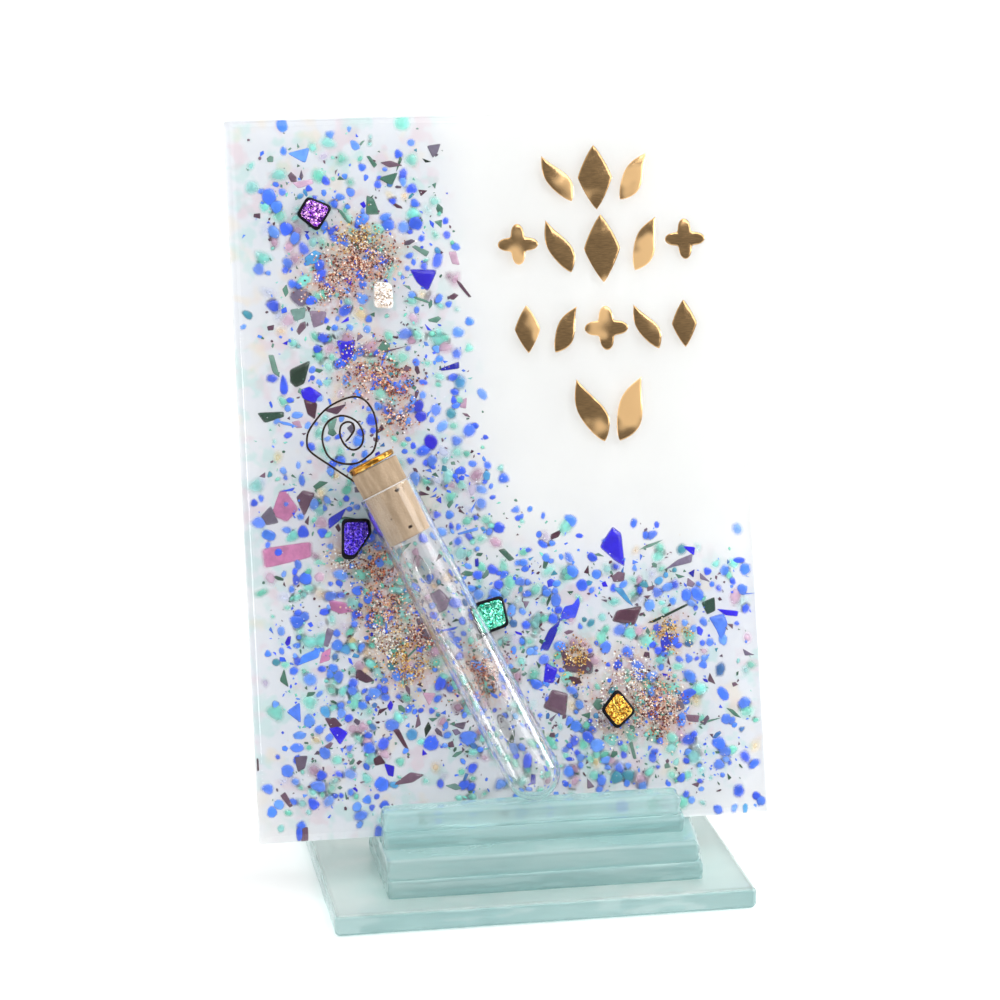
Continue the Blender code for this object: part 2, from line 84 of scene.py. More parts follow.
class Graph:
    """A material's node graph, written as nested calls."""

    def __init__(self, name):
        self.material = bpy.data.materials.new(name)
        self.material.use_nodes = True
        self.tree = self.material.node_tree
        self.tree.nodes.clear()
        self.output = self.tree.nodes.new("ShaderNodeOutputMaterial")

    def node(self, kind, settings=None, **inputs):
        """A node with its settings and inputs. An input is a number, a colour or another node's socket."""
        node = self.tree.nodes.new("ShaderNode" + kind)
        for key, value in (settings or {}).items():
            setattr(node, key, value)
        for key, value in inputs.items():
            self.feed(node.inputs[int(key[1:])] if key[1:].isdigit() else node.inputs[key.replace("_", " ")], value)
        return node

    def feed(self, socket, value):
        if isinstance(value, bpy.types.NodeSocket):
            self.tree.links.new(value, socket)
        elif isinstance(value, tuple) and len(value) == 3 and socket.type == "RGBA":
            socket.default_value = (*value, 1.0)
        else:
            socket.default_value = value

    def place(self, scale=(1, 1, 1)):
        """Object coordinates in mm, stretched."""
        coords = self.node("TexCoord").outputs["Object"]
        return self.node("Mapping", _0=coords, Scale=tuple(s / MM for s in scale)).outputs[0]

    def noise(self, where, scale, detail=3.0, roughness=0.5):
        return self.node("TexNoise", Vector=where, Scale=scale, Detail=detail, Roughness=roughness).outputs["Fac"]

    def remap(self, value, low, high, to_low=0.0, to_high=1.0):
        kind = {"interpolation_type": "SMOOTHSTEP"}
        return self.node("MapRange", kind, _0=value, _1=low, _2=high, _3=to_low, _4=to_high).outputs[0]

    def math(self, operation, a, b=0.5):
        return self.node("Math", {"operation": operation}, _0=a, _1=b).outputs[0]

    def times(self, a, b):
        return self.math("MULTIPLY", a, b)

    def vector(self, operation, first, **inputs):
        return self.node("VectorMath", {"operation": operation}, _0=first, **inputs)

    def part(self, vector, axis):
        return self.node("SeparateXYZ", _0=vector).outputs[axis]

    def normal(self):
        return self.node("NewGeometry").outputs["Normal"]

    def mix(self, factor, a, b):
        return self.node("Mix", {"data_type": "RGBA"}, _0=factor, _6=a, _7=b).outputs[2]

    def blend(self, factor, a, b):
        """A mix of two shaders."""
        return self.node("MixShader", _0=factor, _1=a.outputs[0], _2=b.outputs[0])

    def gloss(self, **inputs):
        return self.node("BsdfPrincipled", **inputs)

    def bump(self, height, strength, distance):
        return self.node("Bump", Height=height, Strength=strength, Distance=distance * MM).outputs[0]

    def attribute(self, name, output="Fac"):
        return self.node("Attribute", {"attribute_name": name}).outputs[output]

    def surface(self, shader):
        self.tree.links.new(shader.outputs[0], self.output.inputs["Surface"])
        return self.material

    def clear(self, shader, tint, absorb=None):
        """Finishes glass: light falls through it, a little darker where the wall is seen edge on."""
        edge = self.node("LayerWeight", Blend=0.35).outputs["Facing"]
        dark = tuple(0.55 * c for c in tint)
        through = self.node("BsdfTransparent", Color=self.mix(edge, tint, dark))
        shadow = self.node("LightPath").outputs["Is Shadow Ray"]
        self.surface(self.blend(shadow, shader, through))
        if absorb:
            volume = self.node("VolumeAbsorption", Color=absorb[0], Density=absorb[1])
            self.tree.links.new(volume.outputs[0], self.output.inputs["Volume"])
        return self.material


def smooth(mesh, angle):
    mesh.shade_smooth()
    mesh.set_sharp_from_angle(angle=math.radians(angle))
    return mesh


def mesh_of(name, bm, angle, weld=0.0):
    """A mesh from a bmesh, with its faces turned out and shaded smooth up to the angle."""
    if weld:
        bmesh.ops.remove_doubles(bm, verts=bm.verts, dist=weld)
    bmesh.ops.recalc_face_normals(bm, faces=bm.faces)
    mesh = bpy.data.meshes.new(name)
    bm.to_mesh(mesh)
    bm.free()
    return smooth(mesh, angle)


def add_piece(name, mesh, material, body, place=HERE, replaced=()):
    piece = bpy.data.objects.new(name, mesh)
    SCENE.collection.objects.link(piece)
    mesh.materials.append(material)
    piece.matrix_world = place
    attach(piece, body)
    if replaced:
        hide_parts(*replaced)
    return piece


def bridge(bm, rings):
    """Walls between closed rings of vertices with one count."""
    for lower, upper in zip(rings, rings[1:]):
        for i in range(len(lower)):
            j = (i + 1) % len(lower)
            bm.faces.new((lower[i], lower[j], upper[j], upper[i]))


def loft(loops):
    """A closed body through loops of points with one count, capped at both ends."""
    bm = bmesh.new()
    rings = [[bm.verts.new(Vector(point) * MM) for point in loop] for loop in loops]
    bridge(bm, rings)
    bm.faces.new(rings[0][::-1])
    bm.faces.new(rings[-1])
    return bm


def lathe(profile, segments, shape=None):
    """A closed body turned about Z, from (radius, height) points that start and end on the axis, in mm.
    shape(radius, angle, height) may return another radius and height."""
    bm = bmesh.new()
    rings = []
    for radius, height in profile[1:-1]:
        ring = []
        for step in range(segments):
            angle = math.tau * step / segments
            r, z = shape(radius, angle, height) if shape else (radius, height)
            ring.append(bm.verts.new(Vector((r * math.cos(angle), r * math.sin(angle), z)) * MM))
        rings.append(ring)
    bridge(bm, rings)
    for ring, height in ((rings[0], profile[0][1]), (rings[-1], profile[-1][1])):
        tip = bm.verts.new((0, 0, height * MM))
        for i in range(segments):
            bm.faces.new((ring[i], ring[(i + 1) % segments], tip))
    return bm


def arc(centre, radius, start, end, steps):
    """(x, y) points on an arc, in degrees."""
    angles = [math.radians(start + (end - start) * i / steps) for i in range(steps + 1)]
    return [(centre[0] + radius * math.cos(a), centre[1] + radius * math.sin(a)) for a in angles]


# ---- materials


def stand_glass():
    """Aqua float glass clouded by fusing: tinted through, with soft drawn streaks and a satin top whose paler colour
    is painted sheen.
    """
    g = Graph("stand_glass")
    # The satin, and the painted pale sheen on upward faces, is full on the base plate's top and slight on the strips
    # above it
    high = g.remap(g.part(g.place(), "Z"), 7.5, 9.5, 1.0, 0.12)
    top = g.times(g.remap(g.part(g.normal(), "Z"), 0.5, 0.95), high)
    streaks = g.noise(g.place((0.03, 0.05, 0.22)), 1.0, 3, 0.5)
    fine = g.noise(g.place((0.16, 0.2, 0.6)), 1.0, 2)
    height = g.math("ADD", streaks, g.times(fine, 0.22))
    normal = g.bump(height, g.remap(top, 0.0, 1.0, 0.5, 0.12), 0.4)
    cloud = g.remap(g.noise(g.place((0.03, 0.05, 0.09)), 1.0, 3), 0.3, 0.7)
    side = g.mix(cloud, (0.54, 0.755, 0.76), (0.67, 0.855, 0.85))
    face = g.mix(cloud, (0.68, 0.735, 0.72), (0.77, 0.81, 0.79))
    rough = g.remap(top, 0.0, 1.0, 0.13, 0.32)
    # Painted sheen: faces turned up take the paler, greyer colour in place of the bright sky they reflect
    colour = g.mix(top, side, face)
    shader = g.gloss(Base_Color=colour, Roughness=rough, IOR=1.5, Transmission_Weight=0.66, Normal=normal)
    return g.clear(shader, (0.8, 0.92, 0.9), ((0.0, 0.45, 0.42), 15.0))


def clear_glass():
    g = Graph("clear_glass")
    normal = g.bump(g.noise(g.place((0.05, 0.05, 0.05)), 1.0, 2), 0.25, 0.4)
    tint = (0.99, 1.0, 0.995)
    shader = g.gloss(Base_Color=tint, Roughness=0.0, IOR=1.5, Transmission_Weight=1.0, Normal=normal)
    return g.clear(shader, (0.97, 0.985, 0.98))


def tube_glass():
    g = Graph("tube_glass")
    shader = g.gloss(Base_Color=(1.0, 1.0, 1.0), Roughness=0.0, IOR=1.44, Transmission_Weight=1.0)
    # Painted highlight: a whitish, rougher ring at the lip stands in for the bright line of light along the rim
    lip = g.remap(g.part(g.place(), "Z"), TUBE_LENGTH - 0.5, TUBE_LENGTH - 0.25)
    lip_highlight = g.gloss(Base_Color=(0.95, 0.96, 0.97), Roughness=0.25, Transmission_Weight=0.35)
    return g.clear(g.blend(g.times(lip, 0.6), shader, lip_highlight), (0.975, 0.98, 0.985))


def adhesive():
    g = Graph("adhesive")
    normal = g.bump(g.noise(g.place((0.8, 0.8, 0.8)), 1.0, 2), 0.3, 0.2)
    tint = (1.0, 0.99, 0.97)
    shader = g.gloss(Base_Color=tint, Roughness=0.05, IOR=1.43, Transmission_Weight=1.0, Normal=normal)
    return g.clear(shader, (0.95, 0.94, 0.92))


def opal_glass():
    """White opal glass, with fine coloured powder under the chips, greyed there by painted shade as well, and stained
    by the mica.
    """
    g = Graph("opal_glass")
    where = g.place()
    white = g.mix(g.remap(g.noise(where, 0.035, 3), 0.3, 0.7), (0.79, 0.79, 0.788), (0.82, 0.82, 0.816))

    def cover(spots, inner):
        total = None
        for across, up, reach in spots:
            gap = g.vector("DISTANCE", where, _1=(across, FRIT_BED, up)).outputs["Value"]
            near = g.remap(gap, reach, reach * inner)
            total = near if total is None else g.math("MAXIMUM", total, near)
        return total

    # Powder and painted shade: the white turns grey-blue over these spots, most on the left of the coloured field
    field = cover(DUST_AND_SHADE_SPOTS, 0.6)
    dust_and_shade = g.times(field, g.remap(g.noise(where, 0.3, 4, 0.65), 0.2, 0.6, 0.6, 1.0))
    colour = g.mix(dust_and_shade, white, (0.72, 0.735, 0.775))
    aqua, pink, amber = (0.4, 0.68, 0.63), (0.72, 0.5, 0.56), (0.8, 0.66, 0.48)
    for scale, low, tone in ((0.17, 0.53, aqua), (0.13, 0.56, pink), (0.1, 0.58, amber)):
        patch = g.remap(g.noise(where, scale, 2), low, low + 0.14)
        colour = g.mix(g.times(g.times(patch, field), 0.42), colour, tone)
    stain = cover([(across, up, reach * 1.7) for across, up, reach, _ in MICA_SPOTS], 0.25)
    grain = g.remap(g.noise(where, 0.6, 4, 0.7), 0.36, 0.6, 0.25, 1.0)
    tone = g.mix(g.remap(g.noise(where, 0.16, 2), 0.42, 0.58), (0.66, 0.44, 0.3), (0.6, 0.36, 0.36))
    colour = g.mix(g.times(g.times(stain, grain), 0.85), colour, tone)
    normal = g.bump(g.noise(where, 0.09, 2), 0.15, 0.3)
    return g.surface(g.gloss(Base_Color=colour, Roughness=0.12, Coat_Weight=0.3, Coat_Roughness=0.04, Normal=normal))


def frit_glass(name, thin, roughness=0.18):
    """Coloured glass chips. Each chip's colour is in its mesh, and it turns clear where the chip thins out."""
    g = Graph(name)
    where = g.place()
    chip = g.attribute("chip_colour", "Color")
    mottle = g.remap(g.noise(where, 0.45, 3, 0.6), 0.25, 0.75, 0.84, 1.12)
    shade = g.vector("SCALE", chip, Scale=mottle).outputs[0]
    normal = g.bump(g.noise(where, 1.3, 2), 0.2, 0.1)
    glass = g.gloss(Base_Color=shade, Roughness=roughness, Normal=normal)
    solid = g.remap(g.attribute("chip_depth"), 0.0, 0.9, thin, 1.0)
    seen = g.blend(solid, g.node("BsdfTransparent"), glass)
    glow = g.mix(g.times(solid, 0.3), (1.0, 1.0, 1.0), chip)
    shadow = g.node("LightPath").outputs["Is Shadow Ray"]
    return g.surface(g.blend(shadow, seen, g.node("BsdfTransparent", Color=glow)))


def mica():
    """Copper and gold mica flecks."""
    g = Graph("mica")
    chip = g.attribute("chip_colour", "Color")
    rough = g.remap(g.noise(g.place(), 3.0, 2), 0.3, 0.7, 0.18, 0.4)
    return g.surface(g.gloss(Base_Color=chip, Metallic=0.35, Roughness=rough))


def dichroic(name, colours, grain, roughness):
    """Crinkled dichroic glass: small mirror facets between the given colours, with thin crinkle lines painted in the
    palest colour as highlights.
    """
    g = Graph(name)
    where = g.place()
    cells = g.node("TexVoronoi", Vector=where, Scale=grain)
    pick = g.node("SeparateColor", Color=cells.outputs["Color"]).outputs
    ramp = g.node("ValToRGB", _0=pick[0])
    stops = ramp.color_ramp.elements
    for index, (place, colour) in enumerate(colours):
        stop = stops[index] if index < 2 else stops.new(place)
        stop.position = place
        stop.color = (*linear(*colour), 1)
    # Painted highlights: thin crinkle lines take the palest colour of the film
    crease = g.math("ABSOLUTE", g.math("SUBTRACT", g.noise(where, grain * 0.55, 1), 0.5))
    light = linear(*colours[-1][1])
    colour = g.mix(g.remap(crease, 0.036, 0.01), ramp.outputs[0], light)
    tilt = g.vector("SUBTRACT", cells.outputs["Color"], _1=(0.5, 0.5, 0.5)).outputs[0]
    lean = g.vector("SCALE", tilt, Scale=0.75).outputs[0]
    normal = g.vector("NORMALIZE", g.vector("ADD", g.normal(), _1=lean).outputs[0]).outputs[0]
    coat = {"Coat_Weight": 0.35, "Coat_Roughness": 0.04}
    return g.surface(g.gloss(Base_Color=colour, Metallic=0.8, Roughness=roughness, Normal=normal, **coat))


def black_glass():
    g = Graph("black_glass")
    where = g.place()
    colour = g.mix(g.noise(where, 1.2, 3), (0.002, 0.002, 0.004), (0.008, 0.007, 0.012))
    normal = g.bump(g.noise(where, 0.9, 2), 0.3, 0.15)
    return g.surface(g.gloss(Base_Color=colour, Roughness=0.25, Normal=normal, Specular_IOR_Level=0.12))


def gold(name, dark, pale, wave):
    """Fired gold lustre: a bronze mirror film with faint brush marks, and pale, less metallic clouds that are painted
    highlights.
    """
    g = Graph(name)
    where = g.place()
    # Painted highlights: the pale clouds stand in for the gold film catching the lamps
    cloud = g.remap(g.noise(where, wave, 2, 0.5), 0.5, 0.6)
    strands = g.remap(g.noise(g.place((0.5, 0.5, 4.0)), 1.0, 2), 0.3, 0.7, 0.0, 0.35)
    colour = g.mix(g.math("MAXIMUM", cloud, strands), linear(*dark), linear(*pale))
    height = g.math("ADD", g.noise(where, 0.1, 1), g.times(g.noise(where, 1.6, 2), 0.012))
    normal = g.bump(height, 0.8, 0.9)
    # The painted highlights are less metallic, so they stay bright whatever the film reflects
    metal = g.remap(cloud, 0.0, 1.0, 1.0, 0.45)
    return g.surface(g.gloss(Base_Color=colour, Metallic=metal, Roughness=0.14, Normal=normal))


def cork():
    """Turned natural cork: warm tan, cell grain, darker growth bands and pores."""
    g = Graph("cork")
    where = g.place()
    band = g.noise(g.place((0.55, 0.55, 0.1)), 1.0, 3)
    base = g.mix(g.remap(band, 0.3, 0.7), linear(160, 139, 114), linear(184, 162, 137))
    speck = g.node("TexVoronoi", Vector=where, Scale=1.5)
    grain = g.remap(speck.outputs["Distance"], 0.1, 0.75)
    base = g.mix(g.times(grain, 0.16), base, linear(150, 120, 88))
    flecks = g.remap(g.noise(g.place((0.8, 0.8, 1.6)), 1.0, 4, 0.7), 0.64, 0.74)
    base = g.mix(g.times(flecks, 0.4), base, linear(130, 98, 70))
    base = g.mix(g.remap(g.attribute("pit"), 0.15, 0.8), base, linear(58, 38, 24))
    normal = g.bump(g.math("ADD", grain, g.noise(where, 2.6, 3)), 0.35, 0.1)
    return g.surface(g.gloss(Base_Color=base, Roughness=0.82, Normal=normal, Specular_IOR_Level=0.25))


def wire_metal():
    g = Graph("wire_metal")
    where = g.place()
    colour = g.mix(g.noise(where, 0.5, 3), linear(34, 28, 26), linear(70, 56, 46))
    rough = g.remap(g.noise(where, 1.5, 2), 0.3, 0.7, 0.25, 0.45)
    normal = g.bump(g.noise(g.place((2, 2, 0.4)), 1.0, 2), 0.2, 0.05)
    return g.surface(g.gloss(Base_Color=colour, Metallic=0.9, Roughness=rough, Normal=normal))


# ---- stand


def block_steps(low, high, radius, pitch, arc_steps=3):
    """Places of the grid lines along one side of a round-edged block: close together over the round edges."""
    edge = [radius * (1 - math.tan(math.pi / 4 * k / arc_steps)) for k in range(arc_steps, -1, -1)]
    count = max(1, round((high - low - 2 * radius) / pitch))
    middle = [low + radius + (high - low - 2 * radius) * i / count for i in range(1, count)]
    return [low + e for e in edge] + middle + [high - e for e in reversed(edge)]


def glass_block(low, high, radius, pitch, ripple, right_back=None):
    """A cut strip of fused glass: melted round edges and long ripples. Its right end may run askew."""
    bm = bmesh.new()
    steps = [block_steps(low[k], high[k], radius, pitch[k]) for k in range(3)]
    inner_low = [low[k] + radius for k in range(3)]
    inner_high = [high[k] - radius for k in range(3)]

    def settle(point):
        core = Vector([min(max(point[k], inner_low[k]), inner_high[k]) for k in range(3)])
        out = (Vector(point) - core).normalized()
        x, y, z = point
        wave = noise.noise((x * 0.045, y * 0.1, z * 0.34 + 7)) + 0.5 * noise.noise((x * 0.13, y * 0.2, z * 0.8))
        end = 0.0
        if point[0] > high[0] - 0.01 or point[0] < low[0] + 0.01:
            end = 1.6 * ripple * noise.noise((x, y * 0.7, z * 0.7 + 3))
        if point[0] > high[0] - 0.01 and ripple > 0.12:
            end += 3.0 * ripple * noise.noise((2.0, y * 0.33, z * 0.5))
        place = core + out * (radius + ripple * wave + end)
        if right_back is not None:
            share = (place.x - low[0]) / (high[0] - low[0])
            back = (place.y - low[1]) / (high[1] - low[1])
            place.x += share * back * (right_back - high[0])
        place.z = max(place.z, 0.0)
        return place * MM

    for axis in range(3):
        a, b = [k for k in range(3) if k != axis]
        for side in (low[axis], high[axis]):
            grid = []
            for u in steps[a]:
                row = []
                for v in steps[b]:
                    point = [0, 0, 0]
                    point[axis], point[a], point[b] = side, u, v
                    row.append(bm.verts.new(settle(point)))
                grid.append(row)
            for i in range(len(grid) - 1):
                for j in range(len(grid[0]) - 1):
                    bm.faces.new((grid[i][j], grid[i + 1][j], grid[i + 1][j + 1], grid[i][j + 1]))
    return mesh_of("block", bm, 50, 1e-6)


def union(meshes):
    """One closed mesh from overlapping closed ones."""
    objects = [bpy.data.objects.new("operand", mesh) for mesh in meshes]
    for obj in objects:
        SCENE.collection.objects.link(obj)
    for other in objects[1:]:
        join = objects[0].modifiers.new("join", "BOOLEAN")
        join.operation = "UNION"
        join.solver = "EXACT"
        join.object = other
    bpy.context.view_layer.update()
    evaluated = objects[0].evaluated_get(bpy.context.evaluated_depsgraph_get())
    mesh = bpy.data.meshes.new_from_object(evaluated)
    for obj in objects:
        bpy.data.objects.remove(obj)
    return smooth(mesh, 50)


def build_stand(material):
    # node: edge radius, how far it is sunk into the piece below, ripple
    looks = {
        "base_plate": (1.8, 0.0, 0.1),
        "riser_lower_glass": (1.5, 1.0, 0.2),
        "riser_upper_glass": (1.5, 1.1, 0.2),
        "front_strip_lower": (1.4, 1.0, 0.16),
        "front_strip_upper": (1.5, 1.1, 0.2),
        "rear_strip_lower": (1.4, 1.0, 0.1),
        "rear_strip_upper": (1.5, 1.1, 0.1),
    }
    # The x of a riser's right end at its front and at its back, in mm
    skew = {"riser_lower_glass": (47.2, 52.8), "riser_upper_glass": (46.2, 50.6)}
    blocks = []
    for name, (radius, sunk, ripple) in looks.items():
        low, high = (Vector(corner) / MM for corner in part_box(name))
        low.z -= sunk
        right_back = None
        if name in skew:
            high.x, right_back = skew[name]
        pitch = (3.0, 3.0, 1.4) if name == "base_plate" else (1.8, 1.5, 0.6)
        blocks.append(glass_block(low, high, radius, pitch, ripple, right_back))
    add_piece("fused_glass_stand", union(blocks), material, "stand", HERE, looks)


# ---- panel


def rim_loop(side_inset, side_depth, foot_inset, foot_depth):
    """Loop round the panel. Below FOOT_BLEND the inset and the depth go over to those of the rounder foot."""
    half, corner = PANEL_WIDTH / 2, PANEL_CORNER
    loop = []
    for sign, start in ((1, 0), (-1, 90)):
        centre = (sign * (half - side_inset - corner), PANEL_HEIGHT - side_inset - corner)
        loop += [(x, side_depth, z) for x, z in arc(centre, corner, start, start + 90, 5)]
    loop.append((-half + side_inset, side_depth, FOOT_BLEND))
    for sign, start in ((-1, 180), (1, 270)):
        centre = (sign * (half - side_inset - corner), foot_inset + corner)
        loop += [(x, foot_depth, z) for x, z in arc(centre, corner, start, start + 90, 5)]
    loop.append((half - side_inset, side_depth, FOOT_BLEND))
    return loop


def sheet_mesh(name, face, seam, radius):
    """A glass sheet from its round-rimmed face to the seam with the other sheet. Its foot is rounder."""
    inward = 1 if seam > face else -1
    loops = [rim_loop(radius + extra, face, FOOT_RADIUS + extra, face) for extra in (2.2, 0.6)]
    for step in range(9):
        angle = math.pi / 2 * step / 8
        sunk, rolled = 1 - math.sin(angle), inward * (1 - math.cos(angle))
        loops.append(
            rim_loop(radius * sunk, face + radius * rolled, FOOT_RADIUS * sunk, face + FOOT_RADIUS * rolled)
        )
    for inset, depth in ((0.0, seam - inward * 0.25), (0.22, seam), (1.4, seam)):
        loops.append(rim_loop(inset, depth, inset, depth))
    return mesh_of(name, loft(loops), 35)


# Right-hand edge of the coloured field, from the top down and then along the band, in mm on the panel
FRIT_EDGE = [
    (-14.5, 212.0), (-13.8, 204.0), (-10.5, 183.5), (-7.6, 154.0), (-4.7, 125.0), (2.6, 96.0), (11.0, 90.0),
    (23.0, 88.5), (44.0, 86.0), (78.0, 83.0),
]
# Spots of powder and painted shade on the white sheet: across, up and reach, in mm on the panel
DUST_AND_SHADE_SPOTS = [(-48, 190, 48), (-46, 140, 48), (-44, 95, 50), (-42, 40, 54), (12, 42, 48), (50, 40, 46)]
THIN_SPOTS = [(-30, 15, 17), (-74, 209, 24), (-52, 108, 9), (-2, 16, 10), (60, 84, 14), (-30, 206, 8)]
# Clumps of mica: across, up, reach and tone
MICA_SPOTS = [
    (-38, 173, 7, "gold"), (-39, 166, 8, "rust"), (-46, 162, 9, "salmon"), (-34, 168, 9, "salmon"),
    (-28.5, 131, 6.5, "copper"), (-37, 135, 9, "salmon"), (-29, 121, 6, "salmon"), (-36.5, 78.5, 6.5, "copper"),
    (-46, 81, 6, "white"), (-35.5, 66.5, 10, "salmon"), (-25, 58, 6, "rust"), (-30, 50, 9, "gold"),
    (-35, 57, 7, "white"), (-8.5, 45, 9, "copper"), (20, 48, 6.5, "gold"), (42.5, 34, 10, "salmon"),
    (44, 30, 7, "rust"), (36, 43, 7, "white"), (49, 54, 6, "gold"), (31, 33, 9, "white"),
]
# Mica colours; the near-white entries in each tone stand in for sparkle and are painted highlights
MICA_TONES = {
    "gold": [(214, 158, 76), (240, 196, 104), (150, 92, 44), (255, 240, 200), (96, 62, 40)],
    "copper": [(176, 84, 52), (120, 46, 30), (214, 124, 84), (250, 206, 176), (74, 34, 28)],
    "salmon": [(214, 140, 116), (130, 62, 54), (240, 190, 164), (255, 246, 240), (84, 50, 48), (224, 176, 130)],
    "white": [(255, 250, 242), (240, 224, 204), (150, 104, 80), (255, 255, 255)],
    "rust": [(124, 50, 36), (160, 76, 54), (80, 30, 28), (226, 170, 140), (255, 232, 214)],
}
# Blobs worth placing one by one: across, up, width and height in mm on the panel. A fifth number is a turn in
# degrees.
LARGE_BLOBS = {
    "blue": [
        (-63, 186.5, 4.4, 5.1), (-61, 183.5, 3.5, 4.1), (-58.5, 177, 4.1, 4.1), (-20.5, 177.5, 4.4, 4.4),
        (-58, 89, 3.5, 3.9), (-52.5, 88.5, 2.9, 2.9), (-68, 88.5, 4.1, 3.7), (-65.5, 83.5, 2.3, 2.3),
        (-58, 75.5, 3.9, 3.9), (-61.5, 131.5, 2.5, 6), (-39.5, 61, 4.1, 2.2), (-59, 34.5, 3.5, 4.1),
        (-62, 30.5, 4.1, 2.5), (-63, 27, 4.2, 2.7), (-55, 25, 3.7, 3.7), (-66, 20.5, 3.9, 3.9),
        (-24, 26, 4.7, 4.7), (-13, 27, 5.4, 4.4), (-39, 15, 4.5, 4.5), (-69, 11, 3.5, 2.8), (-71, 9, 2.8, 3.5),
        (-63.5, 2.5, 2.1, 3.7), (-46.5, 9, 2.9, 2.9), (25, 22.5, 4.5, 4.1), (19, 28.5, 3.7, 3.7),
        (53, 36, 5.8, 2.9, 20), (63.5, 35.5, 3.2, 4.8, 25), (23, 69.5, 3.7, 3.7), (15, 65.5, 3.3, 4.4),
        (29, 51, 3.5, 4.1, -20), (27.5, 72.5, 3, 3), (26.5, 77.5, 3, 3), (71, 66, 3.2, 3.2),
        (70.5, 74.5, 3.8, 1.9), (64, 28, 3.3, 3.3),
    ],
    "mauve": [
        (-55.5, 157, 5.9, 5.3),
    ],
    "cobalt": [
        (-22.5, 124, 3.5, 3.7), (-22, 121, 3.7, 3.5), (-19.5, 113.5, 3.9, 5.1, 40),
    ],
}
